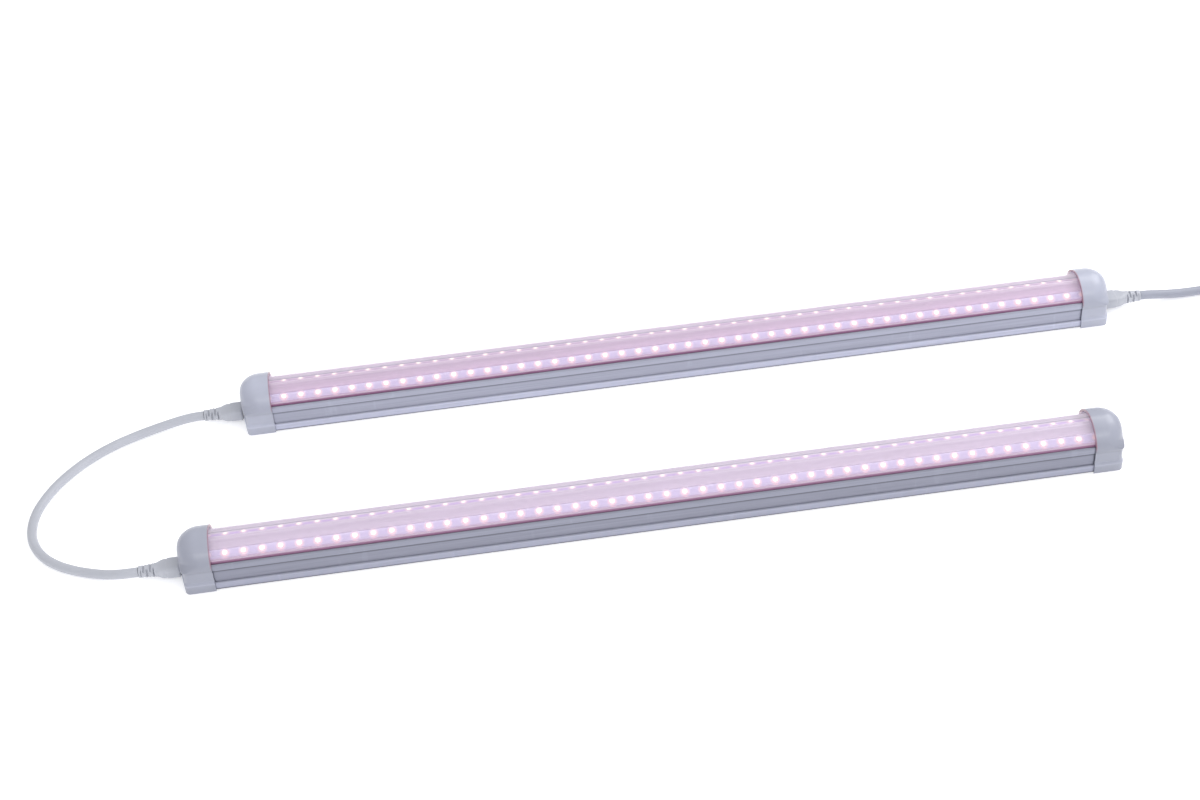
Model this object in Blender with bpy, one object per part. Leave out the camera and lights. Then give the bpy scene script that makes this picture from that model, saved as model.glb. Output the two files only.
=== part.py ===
"""Linked pair of slim LED grow light bars, with their link cord and power cord.

All lengths are in millimetres and become metres in add_object.  X runs along the
bars, Y goes from the front bar to the rear bar and Z is up.  The bars lie on their
flat backs on z = 0, with their light going up.  The origin is midway between them.
"""
import math

import bmesh
import bpy
import numpy as np
from mathutils import Matrix, Vector

MM = 0.001
GAP = 0.3                       # clearance between pieces that touch

# Overall layout
BAR_LENGTH = 600.0
BAR_SPACING = 145.0             # between the two bars' centre lines
BAR_SHIFT = 38.0                # how far the rear bar is set along +X
HALF = BAR_LENGTH / 2
REAR = (BAR_SHIFT / 2, BAR_SPACING / 2)
FRONT = (-BAR_SHIFT / 2, -BAR_SPACING / 2)

# Aluminium housing
RIDGE_HEIGHT = 26.7
SLOPE = math.radians(30)        # fall of each lamp face from the ridge
FLANGE_HALF_WIDTH = 17.6
FLANGE_HEIGHT = 6.2
GROOVE_HALF_WIDTH = 16.4
LIP_HALF_WIDTH = 17.0
GROOVE_TOP = 15.3
LIP_TOP = 20.2
CAVITY_HALF_WIDTH = 15.0
FLOOR_WALL = 2.0
ROOF_WALL = 2.8
HOUSING_HALF_LENGTH = 289.5

# Clear cover
DOME_CENTRE = 15.0
DOME_RADIUS = 16.3
LENS_WALL = 1.2
LENS_FOOT = 19.0
LENS_HALF_LENGTH = 290.5

# Lamp boards
CHIP_COUNT = 48
CHIP_PITCH = 11.5
CHIP_LONG = 3.5
CHIP_WIDE = 2.8
CHIP_TALL = 0.7
BOARD_FROM_RIDGE = 10.05        # board centre, measured down the slope
BOARD_WIDTH = 5.4
BOARD_THICK = 1.0
BOARD_HALF_LENGTH = 282.0

# End caps
CAP_LENGTH = 21.0
CAP_BAND_HALF_WIDTH = 19.1
CAP_BAND_HEIGHT = 7.0
CAP_SIDE_HALF_WIDTH = 18.6
CAP_DOME_SPRING = 17.6          # height where the dome starts to curve in
CAP_DOME_RISE = 15.0
CAP_DOME_POWER = 1.8
CAP_RECESS_HALF_WIDTH = 18.1
CAP_RECESS_LOW = 8.4
CAP_RECESS_HIGH = 16.6
CAP_RECESS_DEPTH = 0.9
CAP_POCKET = 12.5               # how far the bar goes into the cap
CAP_BOW = 2.6                   # the end face stands this much further out in its middle
CAP_EDGE_LOW = 2.5              # rounding of the end face's edge, low down and over the dome
CAP_EDGE_HIGH = 11.0

# Cap screws and the wires inside
SCREW_PLACE = (284.0, -11.4)    # from the bar's middle, along X and across
SCREW_HOLE = 1.45
SCREW_SINK = (2.8, 1.3)         # radius and depth of the counterbore in the housing's back
WIRE_HALF_LENGTH = 279.0

# Connectors
SOCKET_HEIGHT = 7.2
SOCKET_HALF = (6.0, 4.2)
SOCKET_ROUND = 1.6
PIN_OFFSETS = (-3.4, 0.0, 3.4)
PIN_RADIUS = 0.8
PIN_TIP = 295.0
HEADER_HALF = (7.5, 4.8)
HEADER_DEPTH = 7.2
NOSE_HALF = (5.7, 3.9)
NOSE_LENGTH = 7.8
NOSE_BORE = 1.2
PLUG_HALF = (6.25, 4.3)
PLUG_ROUND = 2.5
PLUG_LENGTH = 15.4
RELIEF_LENGTH = 11.0
RELIEF_RADIUS = (4.6, 3.8)

# Cords
CORD_RADIUS = 3.1
CORD_LIE = 3.2                  # height of a cord's centre line where it lies on the floor
COIL_CENTRE = (434.0, 29.4)
COIL_MIDDLE = 36.0              # radius at the middle of the turns
COIL_PITCH = 6.4
COIL_COLUMNS = 4                # turns side by side in the lower layer; the upper one has 3
COIL_BASE = 0.1                 # the lowest turn's clearance from the floor
COIL_ROUND = 2.0                # rounding of the coil solid's corners

# Inline switch and mains plug
SWITCH_Y = -44.0
SWITCH_X = COIL_CENTRE[0] + COIL_MIDDLE + COIL_PITCH / 2    # in line with the upper layer's outer turn
SWITCH_HALF = (13.5, 31.0)
SWITCH_SPLIT = 9.8
SWITCH_TOP = 19.4
SWITCH_WALL = 1.8
WINDOW_HALF = (8.0, 12.4)       # the opening in the cover
FRAME_HALF = (7.7, 12.1)        # the rocker's frame, in that opening
FRAME_DEPTH = 4.0               # how far the frame goes below the split
ROCKER_TILT = math.radians(8)
ROCKER_PIVOT = 17.6
PLUG_AXIS_HEIGHT = 12.6
MAINS_REAR_Y = -114.0
MAINS_BODY_LENGTH = 34.0
MAINS_RELIEF = 22.0
BLADE_SPACING = 12.7
BLADE_LENGTH = 17.5
BLADE_EDGES = (-7.2, -0.85)     # across the blade, from the plug's axis
BLADE_THICK = 1.5
EARTH_OFFSET = 7.9
EARTH_RADIUS = 2.4
EARTH_LENGTH = 20.0
EARTH_TIP = 3.0

RELIEF_END = PLUG_LENGTH + RELIEF_LENGTH
CORD_GAP = 0.4                  # between a cord's end and the piece that it goes into

# The link cord's route, from the rear bar's plug round to the front bar's plug
LINK_ROUTE = [
    (REAR[0] - HALF - RELIEF_END - CORD_GAP, REAR[1], SOCKET_HEIGHT),
    (-314.0, 72.45, 7.1),
    (-321.0, 72.1, 6.5),
    (-330.0, 71.0, 5.4),
    (-343.0, 68.2, 4.1),
    (-356.0, 63.8, 3.4),
    (-368.0, 58.0, CORD_LIE),
    (-379.0, 50.8, CORD_LIE),
    (-388.5, 42.8, CORD_LIE),
    (-397.0, 33.8, CORD_LIE),
    (-404.5, 23.8, CORD_LIE),
    (-410.5, 13.0, CORD_LIE),
    (-415.0, 1.5, CORD_LIE),
    (-417.3, -10.5, CORD_LIE),
    (-416.8, -22.5, CORD_LIE),
    (-413.2, -34.0, CORD_LIE),
    (-406.8, -44.3, CORD_LIE),
    (-398.0, -52.6, CORD_LIE),
    (-387.6, -59.0, CORD_LIE),
    (-376.4, -64.2, 3.6),
    (-366.4, -68.6, 4.9),
    (-357.0, -71.7, 6.6),
    (-351.0, -72.4, 7.1),
    (FRONT[0] - HALF - RELIEF_END - CORD_GAP, FRONT[1], SOCKET_HEIGHT),
]

# The power cord's route, from the rear bar's plug to its coil
FEED_ROUTE = [
    (REAR[0] + HALF + RELIEF_END + CORD_GAP, REAR[1], SOCKET_HEIGHT),
    (352.0, 72.55, 6.9),
    (360.0, 72.9, 5.7),
    (369.0, 73.4, 4.4),
    (379.0, 74.0, 3.5),
    (390.0, 74.5, CORD_LIE),
    (400.0, 74.9, CORD_LIE),
    (409.0, 75.0, CORD_LIE),
]

# From the coil's upper outside turn to the switch, and on to the mains plug
TAIL_ROUTE = [
    (SWITCH_X, 5.6, 9.7),
    (SWITCH_X, 0.0, 9.7),
    (SWITCH_X, -6.0, 9.75),
    (SWITCH_X, SWITCH_Y + SWITCH_HALF[1] + CORD_GAP, SWITCH_SPLIT),
]
END_ROUTE = [
    (SWITCH_X, SWITCH_Y - SWITCH_HALF[1] - CORD_GAP, SWITCH_SPLIT),
    (SWITCH_X, -82.0, 9.2),
    (SWITCH_X, -89.0, 9.1),
    (SWITCH_X, -96.0, 9.6),
    (SWITCH_X, -104.0, 11.2),
    (SWITCH_X, MAINS_REAR_Y + CORD_GAP, PLUG_AXIS_HEIGHT),
]

COLOURS = {
    "cap_white": ((0.80, 0.81, 0.85), 0.32, 0.0),
    "aluminium": ((0.62, 0.62, 0.66), 0.38, 0.9),
    "clear_cover": ((0.93, 0.86, 0.93), 0.08, 0.0),
    "lamp_board": ((0.82, 0.74, 0.86), 0.45, 0.0),
    "cord_white": ((0.80, 0.81, 0.84), 0.45, 0.0),
    "contact_brass": ((0.78, 0.60, 0.28), 0.28, 1.0),
    "insert_white": ((0.74, 0.75, 0.78), 0.40, 0.0),
    "header_grey": ((0.55, 0.56, 0.58), 0.50, 0.0),
    "screw_steel": ((0.55, 0.55, 0.56), 0.30, 1.0),
    "driver_green": ((0.10, 0.33, 0.19), 0.45, 0.0),
    "driver_black": ((0.04, 0.04, 0.045), 0.40, 0.0),
    "coil_yellow": ((0.72, 0.62, 0.22), 0.50, 0.0),
    "sleeve_film": ((0.85, 0.85, 0.82), 0.35, 0.0),
    "wire_grey": ((0.60, 0.60, 0.60), 0.50, 0.0),
    "rocker_black": ((0.05, 0.05, 0.055), 0.35, 0.0),
}


# ---------------------------------------------------------------- helpers

def clear_scene():
    for obj in list(bpy.data.objects):
        bpy.data.objects.remove(obj, do_unlink=True)


def make_material(name):
    """The Principled material of one finish, made once."""
    if name in bpy.data.materials:
        return bpy.data.materials[name]
    colour, roughness, metallic = COLOURS[name]
    mat = bpy.data.materials.new(name)
    mat.use_nodes = True
    shader = mat.node_tree.nodes["Principled BSDF"]
    shader.inputs["Base Color"].default_value = (*colour, 1.0)
    shader.inputs["Roughness"].default_value = roughness
    shader.inputs["Metallic"].default_value = metallic
    return mat


def add_empty(name, place):
    """A frame that carries one moving body; place is in millimetres."""
    empty = bpy.data.objects.new(name, None)
    empty.location = Vector(place) * MM
    bpy.context.scene.collection.objects.link(empty)
    return empty


def attach(obj, parent):
    """Parent an object whose mesh is already in world places."""
    obj.parent = parent
    obj.matrix_parent_inverse = Matrix.Translation(-parent.location)


def add_object(name, bm, finish, parent, smooth_angle=None):
    """Make an object of a closed bmesh drawn in millimetres."""
    bmesh.ops.scale(bm, vec=(MM, MM, MM), verts=bm.verts)
    bmesh.ops.recalc_face_normals(bm, faces=bm.faces)
    bmesh.ops.triangulate(bm, faces=bm.faces)
    mesh = bpy.data.meshes.new(name)
    bm.to_mesh(mesh)
    bm.free()
    if finish:
        mesh.materials.append(make_material(finish))
    if smooth_angle:
        mesh.shade_smooth()
        mesh.set_sharp_from_angle(angle=math.radians(smooth_angle))
    obj = bpy.data.objects.new(name, mesh)
    bpy.context.scene.collection.objects.link(obj)
    attach(obj, parent)
    return obj


def combine(obj, bm, operation):
    """Cut a tool shape from an object, or join it on, with a live Boolean."""
    tool = add_object(obj.name + "_tool", bm, None, obj.parent)
    tool.hide_render = True
    tool.display_type = "WIRE"
    modifier = obj.modifiers.new(operation.lower(), "BOOLEAN")
    modifier.operation = operation
    modifier.solver = "EXACT"
    modifier.object = tool


def prism(bm, loops, x0, x1):
    """Extrude closed (y, z) loops along X; the first is the outside, others are holes."""
    rings = []
    for loop in loops:
        near = [bm.verts.new((x0, y, z)) for y, z in loop]
        far = [bm.verts.new((x1, y, z)) for y, z in loop]
        for i in range(len(loop)):
            j = (i + 1) % len(loop)
            bm.faces.new((near[i], near[j], far[j], far[i]))
        rings.append((near, far))
    for side in (0, 1):
        edges = []
        for ring in rings:
            verts = ring[side]
            edges += [bm.edges.get((verts[i - 1], verts[i])) for i in range(len(verts))]
        bmesh.ops.triangle_fill(bm, edges=edges, use_beauty=True)


def box(bm, low, high):
    """A box between two corners."""
    size = Vector(high) - Vector(low)
    middle = (Vector(high) + Vector(low)) / 2
    place = Matrix.Translation(middle) @ Matrix.Diagonal((*size, 1.0))
    bmesh.ops.create_cube(bm, size=1.0, matrix=place)


def rod(bm, start, end, radius, sides=12, end_radius=None):
    """A round rod, or a cone, between two points."""
    start, end = Vector(start), Vector(end)
    turn = (end - start).to_track_quat("Z", "Y").to_matrix().to_4x4()
    bmesh.ops.create_cone(
        bm, cap_ends=True, cap_tris=False, segments=sides, radius1=radius,
        radius2=radius if end_radius is None else end_radius,
        depth=(end - start).length, matrix=Matrix.Translation((start + end) / 2) @ turn)


def rounded_rect(half_a, half_b, radius, steps=3):
    """A rectangle with round corners as (a, b) points, anticlockwise."""
    points = []
    for quarter, (sa, sb) in enumerate(((1, 1), (-1, 1), (-1, -1), (1, -1))):
        for step in range(steps + 1):
            angle = math.pi / 2 * (quarter + step / steps)
            points.append((sa * (half_a - radius) + radius * math.cos(angle),
                           sb * (half_b - radius) + radius * math.sin(angle)))
    return points


def loft(bm, rings):
    """Join rings of equal count in order and close both ends."""
    made = [[bm.verts.new(p) for p in ring] for ring in rings]
    for near, far in zip(made, made[1:]):
        for i in range(len(near)):
            j = (i + 1) % len(near)
            bm.faces.new((near[i], near[j], far[j], far[i]))
    bm.faces.new(made[0])
    bm.faces.new(made[-1])


def smooth_route(points, spacing):
    """Points at even spacing along the Catmull-Rom curve through a route's points."""
    p = np.array(points, float)
    p = np.vstack([2 * p[0] - p[1], p, 2 * p[-1] - p[-2]])
    t = np.linspace(0, 1, 20, endpoint=False)[:, None]
    parts = []
    for a, b, c, d in zip(p, p[1:], p[2:], p[3:]):
        parts.append(0.5 * (2 * b + (c - a) * t + (2 * a - 5 * b + 4 * c - d) * t**2
                            + (3 * b - a - 3 * c + d) * t**3))
    fine = np.vstack(parts + [p[-2:-1]])
    run = np.concatenate([[0], np.cumsum(np.linalg.norm(np.diff(fine, axis=0), axis=1))])
    count = max(3, round(run[-1] / spacing) + 1)
    even = np.linspace(0, run[-1], count)
    return np.column_stack([np.interp(even, run, fine[:, k]) for k in range(3)])


def add_cord(name, route, parent, spacing=10.0):
    """A plain round tube along a route."""
    points = smooth_route(route, spacing) * MM
    curve = bpy.data.curves.new(name, "CURVE")
    curve.dimensions = "3D"
    curve.bevel_depth = CORD_RADIUS * MM
    curve.bevel_resolution = 2
    curve.use_fill_caps = True
    spline = curve.splines.new("POLY")
    spline.points.add(len(points) - 1)
    for target, place in zip(spline.points, points):
        target.co = (*place, 1.0)
    curve.materials.append(make_material("cord_white"))
    obj = bpy.data.objects.new(name, curve)
    bpy.context.scene.collection.objects.link(obj)
    attach(obj, parent)


def turned(bm, x, y, profile, sides):
    """A solid turned about an upright axis from (radius, height) pairs, lowest first."""
    angles = [2 * math.pi * k / sides for k in range(sides)]
    loft(bm, [[(x + radius * math.cos(a), y + radius * math.sin(a), z) for a in angles]
              for radius, z in profile])


# ---------------------------------------------------------------- one bar

def on_slope(down, out, side):
    """A (y, z) place on a lamp face: down from the ridge, and out from the face."""
    y = down * math.cos(SLOPE) + out * math.sin(SLOPE)
    z = RIDGE_HEIGHT - down * math.sin(SLOPE) + out * math.cos(SLOPE)
    return side * y, z


def housing_outline():
    """The outside of the extrusion, anticlockwise, mirrored about its centre line."""
    recess = BOARD_WIDTH / 2 + 0.4
    depth = -(BOARD_THICK + GAP)
    foot_inner = DOME_RADIUS - LENS_WALL - 1.25
    half = [
        (FLANGE_HALF_WIDTH - 0.5, 0.0),
        (FLANGE_HALF_WIDTH, 0.5),
        (FLANGE_HALF_WIDTH, FLANGE_HEIGHT - 0.5),
        (FLANGE_HALF_WIDTH - 0.5, FLANGE_HEIGHT),
        (GROOVE_HALF_WIDTH, FLANGE_HEIGHT),
        (GROOVE_HALF_WIDTH, GROOVE_TOP),
        (LIP_HALF_WIDTH, GROOVE_TOP),
        (LIP_HALF_WIDTH, LIP_TOP - 0.5),
        (LIP_HALF_WIDTH - 0.5, LIP_TOP),
        (DOME_RADIUS - 0.5, LIP_TOP),
        (DOME_RADIUS - 0.5, LENS_FOOT - GAP),
        (foot_inner, LENS_FOOT - GAP),
        (foot_inner, RIDGE_HEIGHT - foot_inner * math.tan(SLOPE)),
        on_slope(BOARD_FROM_RIDGE + recess, 0.0, 1),
        on_slope(BOARD_FROM_RIDGE + recess, depth, 1),
        on_slope(BOARD_FROM_RIDGE - recess, depth, 1),
        on_slope(BOARD_FROM_RIDGE - recess, 0.0, 1),
        on_slope(1.0, 0.0, 1),
    ]
    return half + [(-y, z) for y, z in reversed(half)]


def cavity_outline():
    """The driver space inside the extrusion."""
    shoulder = RIDGE_HEIGHT - ROOF_WALL / math.cos(SLOPE)
    side_top = shoulder - CAVITY_HALF_WIDTH * math.tan(SLOPE)
    return [(-CAVITY_HALF_WIDTH, FLOOR_WALL), (CAVITY_HALF_WIDTH, FLOOR_WALL),
            (CAVITY_HALF_WIDTH, side_top), (0.0, shoulder), (-CAVITY_HALF_WIDTH, side_top)]


def build_housing(bar, parent, dx, dy):
    bm = bmesh.new()
    outline = [(y + dy, z) for y, z in housing_outline()]
    cavity = [(y + dy, z) for y, z in cavity_outline()]
    prism(bm, [outline, cavity], dx - HOUSING_HALF_LENGTH, dx + HOUSING_HALF_LENGTH)
    housing = add_object(bar + "_housing", bm, "aluminium", parent)
    holes = bmesh.new()
    for side in (-1, 1):
        sink, depth = SCREW_SINK
        step = [(sink, -1.0), (sink, depth), (SCREW_HOLE, depth), (SCREW_HOLE, FLOOR_WALL + 0.5)]
        turned(holes, dx + side * SCREW_PLACE[0], dy + SCREW_PLACE[1], step, 16)
    combine(housing, holes, "DIFFERENCE")


def build_lens(bar, parent, dx, dy):
    """A clear dome of even wall, on two straight feet that stand in the housing."""
    bm = bmesh.new()
    start = math.asin((LIP_TOP - DOME_CENTRE) / DOME_RADIUS)
    steps = 20
    angles = [start + (math.pi - 2 * start) * i / steps for i in range(steps + 1)]
    inner_radius = DOME_RADIUS - LENS_WALL
    outer = [(DOME_RADIUS * math.cos(a), DOME_CENTRE + DOME_RADIUS * math.sin(a)) for a in angles]
    inner = [(inner_radius * math.cos(a), DOME_CENTRE + inner_radius * math.sin(a)) for a in angles]
    foot = outer[0][0]
    loop = ([(foot, LENS_FOOT)] + outer + [(-foot, LENS_FOOT), (LENS_WALL - foot, LENS_FOOT)]
            + inner[::-1] + [(foot - LENS_WALL, LENS_FOOT)])
    loop = [(y + dy, z) for y, z in loop]
    prism(bm, [loop], dx - LENS_HALF_LENGTH, dx + LENS_HALF_LENGTH)
    add_object(bar + "_lens", bm, "clear_cover", parent, 30)


def build_lamp_board(bar, name, side, parent, dx, dy):
    """One strip with its row of lamp chips, as one body lying on a sloping face."""
    bm = bmesh.new()
    chip_start = -(CHIP_COUNT - 1) / 2 * CHIP_PITCH
    half_width = BOARD_WIDTH / 2

    def corner_ring(x0, x1, half, out):
        flat = [(x0, -half), (x1, -half), (x1, half), (x0, half)]
        verts = []
        for x, down in flat:
            y, z = on_slope(BOARD_FROM_RIDGE + down, out, side)
            verts.append(bm.verts.new((dx + x, dy + y, z)))
        return verts

    def wall(low, high):
        for i in range(4):
            bm.faces.new((low[i - 1], low[i], high[i], high[i - 1]))

    bottom = corner_ring(-BOARD_HALF_LENGTH, BOARD_HALF_LENGTH, half_width, -BOARD_THICK)
    top = corner_ring(-BOARD_HALF_LENGTH, BOARD_HALF_LENGTH, half_width, 0.0)
    bm.faces.new(bottom)
    wall(bottom, top)
    edges = [bm.edges.get((top[i - 1], top[i])) for i in range(4)]
    for index in range(CHIP_COUNT):
        x = chip_start + index * CHIP_PITCH
        foot = corner_ring(x - CHIP_LONG / 2, x + CHIP_LONG / 2, CHIP_WIDE / 2, 0.0)
        head = corner_ring(x - CHIP_LONG / 2, x + CHIP_LONG / 2, CHIP_WIDE / 2, CHIP_TALL)
        wall(foot, head)
        bm.faces.new(head)
        edges += [bm.edges.get((foot[i - 1], foot[i])) for i in range(4)]
    bmesh.ops.triangle_fill(bm, edges=edges, use_beauty=True)
    add_object(f"{bar}_{name}", bm, "lamp_board", parent)


def cap_outline():
    """Half of the cap's outline as (y, z), from the base up: band, shallow recess, dome."""
    points = [(CAP_BAND_HALF_WIDTH, 0.0), (CAP_BAND_HALF_WIDTH, CAP_BAND_HEIGHT),
              (CAP_RECESS_HALF_WIDTH, CAP_RECESS_LOW), (CAP_RECESS_HALF_WIDTH, CAP_RECESS_HIGH),
              (CAP_SIDE_HALF_WIDTH, CAP_DOME_SPRING)]
    steps = 8
    for i in range(1, steps):
        angle = math.pi / 2 * i / steps
        points.append((CAP_SIDE_HALF_WIDTH * math.cos(angle) ** (2 / CAP_DOME_POWER),
                       CAP_DOME_SPRING + CAP_DOME_RISE * math.sin(angle) ** (2 / CAP_DOME_POWER)))
    points.append((0.0, CAP_DOME_SPRING + CAP_DOME_RISE))
    return points


def pocket_outline():
    """Half of the cap's pocket: the housing and lens with clearance, open at the base."""
    flange, lip = FLANGE_HALF_WIDTH + GAP, LIP_HALF_WIDTH + GAP
    radius = DOME_RADIUS + GAP
    start = math.asin((LIP_TOP + GAP - DOME_CENTRE) / radius)
    points = [(flange, -1.0), (flange, FLANGE_HEIGHT), (lip, FLANGE_HEIGHT + GAP),
              (lip, LIP_TOP + GAP)]
    steps = 6
    for i in range(steps + 1):
        angle = start + (math.pi / 2 - start) * i / steps
        points.append((radius * math.cos(angle), DOME_CENTRE + radius * math.sin(angle)))
    return points


def edge_rounding(z):
    """The end face's edge gets rounder from the recess up to the dome."""
    t = min(max((z - CAP_RECESS_HIGH) / 6.0, 0.0), 1.0)
    return CAP_EDGE_LOW + (CAP_EDGE_HIGH - CAP_EDGE_LOW) * t * t * (3 - 2 * t)


def end_face(y, z):
    """How far the end face is from the bar's middle: bowed, and set back along the recess."""
    depth = CAP_RECESS_DEPTH if CAP_RECESS_LOW <= z <= CAP_RECESS_HIGH else 0.0
    return HALF - CAP_BOW / CAP_BAND_HALF_WIDTH ** 2 * y * y - depth


def build_cap(bar, end, parent, dx, dy):
    """A domed end cap: a rounded block with a pocket for the bar and a socket hole."""
    side = 1 if end == "right" else -1
    inner_x = HALF - CAP_LENGTH
    bm = bmesh.new()
    half = cap_outline()
    full = half + [(-y, z) for y, z in reversed(half[:-1])]

    def vert(x, y, z):
        return bm.verts.new((dx + side * x, dy + y, z))

    columns = [[vert(inner_x, y, z) for y, z in full]]
    for angle in (0, 22.5, 45, 67.5, 90):
        a = math.radians(angle)
        ring = []
        for y, z in full:
            r = edge_rounding(z)
            move = r * (1 - math.cos(a))
            rise = max(z - CAP_DOME_SPRING, 0.0)
            yy, zz = y * (1 - move / CAP_SIDE_HALF_WIDTH), z - rise * move / CAP_DOME_RISE
            ring.append(vert(end_face(yy, z) - r * (1 - math.sin(a)), yy, zz))
        columns.append(ring)
    for near, far in zip(columns, columns[1:]):
        for i in range(len(full) - 1):
            bm.faces.new((near[i], near[i + 1], far[i + 1], far[i]))
    rim = columns[-1]
    rows = []
    parts = 6
    for i in range(len(half) - 1):
        right, left = rim[i], rim[-1 - i]
        row = [right]
        for k in range(1, parts):
            y = right.co.y + (left.co.y - right.co.y) * k / parts
            row.append(bm.verts.new((dx + side * end_face(y - dy, half[i][1]), y, right.co.z)))
        rows.append(row + [left])
    for low, high in zip(rows, rows[1:]):
        for k in range(parts):
            bm.faces.new((low[k], low[k + 1], high[k + 1], high[k]))
    peak = rim[len(half) - 1]
    for k in range(parts):
        bm.faces.new((rows[-1][k], rows[-1][k + 1], peak))
    bm.faces.new(columns[0])
    bm.faces.new([c[0] for c in columns] + rows[0][1:-1] + [c[-1] for c in reversed(columns)])
    cap = add_object(f"{bar}_{end}_cap", bm, "cap_white", parent, 35)

    pocket = bmesh.new()
    inner = pocket_outline()
    loop = [(y + dy, z) for y, z in inner + [(-y, z) for y, z in reversed(inner[:-1])]]
    prism(pocket, [loop], dx + side * (inner_x - 1), dx + side * (inner_x + CAP_POCKET))
    combine(cap, pocket, "DIFFERENCE")
    tongue = bmesh.new()
    y0 = dy + SCREW_PLACE[1]
    x_pair = sorted((dx + side * (inner_x + CAP_POCKET + 0.5), dx + side * 280.5))
    box(tongue, (x_pair[0], y0 - 3.2, FLOOR_WALL + GAP), (x_pair[1], y0 + 3.2, 8.0))
    combine(cap, tongue, "UNION")
    holes = bmesh.new()
    x = dx + side * SCREW_PLACE[0]
    rod(holes, (x, y0, 1), (x, y0, 9), SCREW_HOLE, 16)
    combine(cap, holes, "DIFFERENCE")
    mouth = bmesh.new()
    loop = [(dy + y, SOCKET_HEIGHT + z) for y, z in rounded_rect(*SOCKET_HALF, SOCKET_ROUND)]
    prism(mouth, [loop], dx + side * (inner_x + CAP_POCKET - 1), dx + side * (HALF + 1))
    combine(cap, mouth, "DIFFERENCE")


def build_pin_header(bar, end, parent, dx, dy):
    """The block behind the socket, with its three moulded-in contact pins."""
    side = 1 if end == "right" else -1
    face = HALF - CAP_LENGTH + CAP_POCKET - GAP
    bm = bmesh.new()
    loop = [(dy + y, SOCKET_HEIGHT + z) for y, z in rounded_rect(*HEADER_HALF, 0.8, 1)]
    prism(bm, [loop], dx + side * (face - HEADER_DEPTH), dx + side * face)
    header = add_object(f"{bar}_{end}_pin_header", bm, "header_grey", parent)
    pins = bmesh.new()
    for offset in PIN_OFFSETS:
        rod(pins, (dx + side * (face - 2), dy + offset, SOCKET_HEIGHT),
            (dx + side * PIN_TIP, dy + offset, SOCKET_HEIGHT), PIN_RADIUS, 8)
    combine(header, pins, "UNION")


def build_cap_screw(bar, end, parent, dx, dy):
    """A small pan-head screw, sunk in the back, that holds the cap's tongue."""
    side = 1 if end == "right" else -1
    x, y = dx + side * SCREW_PLACE[0], dy + SCREW_PLACE[1]
    bm = bmesh.new()
    turned(bm, x, y, [(2.5, 0.15), (2.5, 0.95), (1.15, 0.95), (1.15, 6.6), (0.4, 7.4)], 12)
    add_object(f"{bar}_{end}_cap_screw", bm, "screw_steel", parent)


def build_driver(bar, parent, dx, dy):
    """The current driver in its insulating channel, beside the through wires."""
    x0 = dx + 60.0
    board_half = (95.0, 9.0)
    floor = FLOOR_WALL + GAP
    channel = [(-10.4, floor), (10.4, floor), (10.4, 12.8), (9.6, 12.8),
               (9.6, floor + 0.8), (-9.6, floor + 0.8), (-9.6, 12.8), (-10.4, 12.8)]
    bm = bmesh.new()
    prism(bm, [[(dy + y, z) for y, z in channel]], x0 - 100, x0 + 100)
    add_object(bar + "_driver_channel", bm, "sleeve_film", parent)

    board_low = floor + 0.8 + GAP
    board_top = board_low + 1.6
    bm = bmesh.new()
    box(bm, (x0 - board_half[0], dy - board_half[1], board_low),
        (x0 + board_half[0], dy + board_half[1], board_top))
    add_object(bar + "_driver_board", bm, "driver_green", parent)

    bm = bmesh.new()
    loop = [(dy + y, board_top + GAP + 3.2 + z) for y, z in rounded_rect(5.6, 3.2, 1.2, 2)]
    prism(bm, [loop], x0 - 8, x0 + 6)
    add_object(bar + "_driver_inductor", bm, "coil_yellow", parent)

    bm = bmesh.new()
    height = board_top + GAP + 4.0
    rod(bm, (x0 + 42, dy, height), (x0 + 60, dy, height), 4.0, 16)
    add_object(bar + "_driver_capacitor", bm, "driver_black", parent)

    bm = bmesh.new()
    box(bm, (x0 - 60, dy - 4.5, board_top + GAP), (x0 - 51, dy + 2.5, board_top + GAP + 2.6))
    add_object(bar + "_driver_rectifier", bm, "driver_black", parent)


def build_through_wires(bar, parent, dx, dy):
    """Three insulated cores in one flat ribbon, from socket to socket."""
    bm = bmesh.new()
    core, pitch, middle = 1.1, 2.05, (12.9, 5.7)
    points = []
    for k in (-1, 0, 1):
        for angle in (-60, -20, 20, 60):
            a = math.radians(angle)
            points.append((middle[0] + core * math.cos(a),
                           middle[1] + k * pitch + core * math.sin(a)))
    points += [(2 * middle[0] - y, z) for y, z in reversed(points)]
    prism(bm, [[(dy + y, z) for y, z in points]], dx - WIRE_HALF_LENGTH, dx + WIRE_HALF_LENGTH)
    add_object(bar + "_through_wires", bm, "wire_grey", parent)


def build_lamp_lead(bar, name, side, parent, dx, dy):
    """The short lead that goes round the housing's end, from the driver up to a board."""
    y = side * 8.6
    end_gap = (HOUSING_HALF_LENGTH + HALF - CAP_LENGTH + CAP_POCKET) / 2
    rise = 20.2 + RIDGE_HEIGHT / 10
    path = [(276, y, 14.2), (284, y, 14.4), (289, y, 14.6), (end_gap, y, 16.4), (end_gap, y, 20),
            (end_gap - 0.2, y, rise), (288.0, y, rise + 1.0), (283.6, y, rise + 0.5)]
    radius, sides = 0.6, 6
    bm = bmesh.new()
    rings = []
    for i, place in enumerate(path):
        before, after = path[max(i - 1, 0)], path[min(i + 1, len(path) - 1)]
        ahead = (Vector(after) - Vector(before)).normalized()
        across = Vector((0, 1, 0))
        up = ahead.cross(across)
        ring = []
        for k in range(sides):
            a = 2 * math.pi * k / sides
            point = Vector(place) + radius * (math.cos(a) * across + math.sin(a) * up)
            ring.append((dx - point.x, dy + point.y, point.z))
        rings.append(ring)
    loft(bm, rings)
    add_object(f"{bar}_{name}", bm, "wire_grey", parent)


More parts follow.
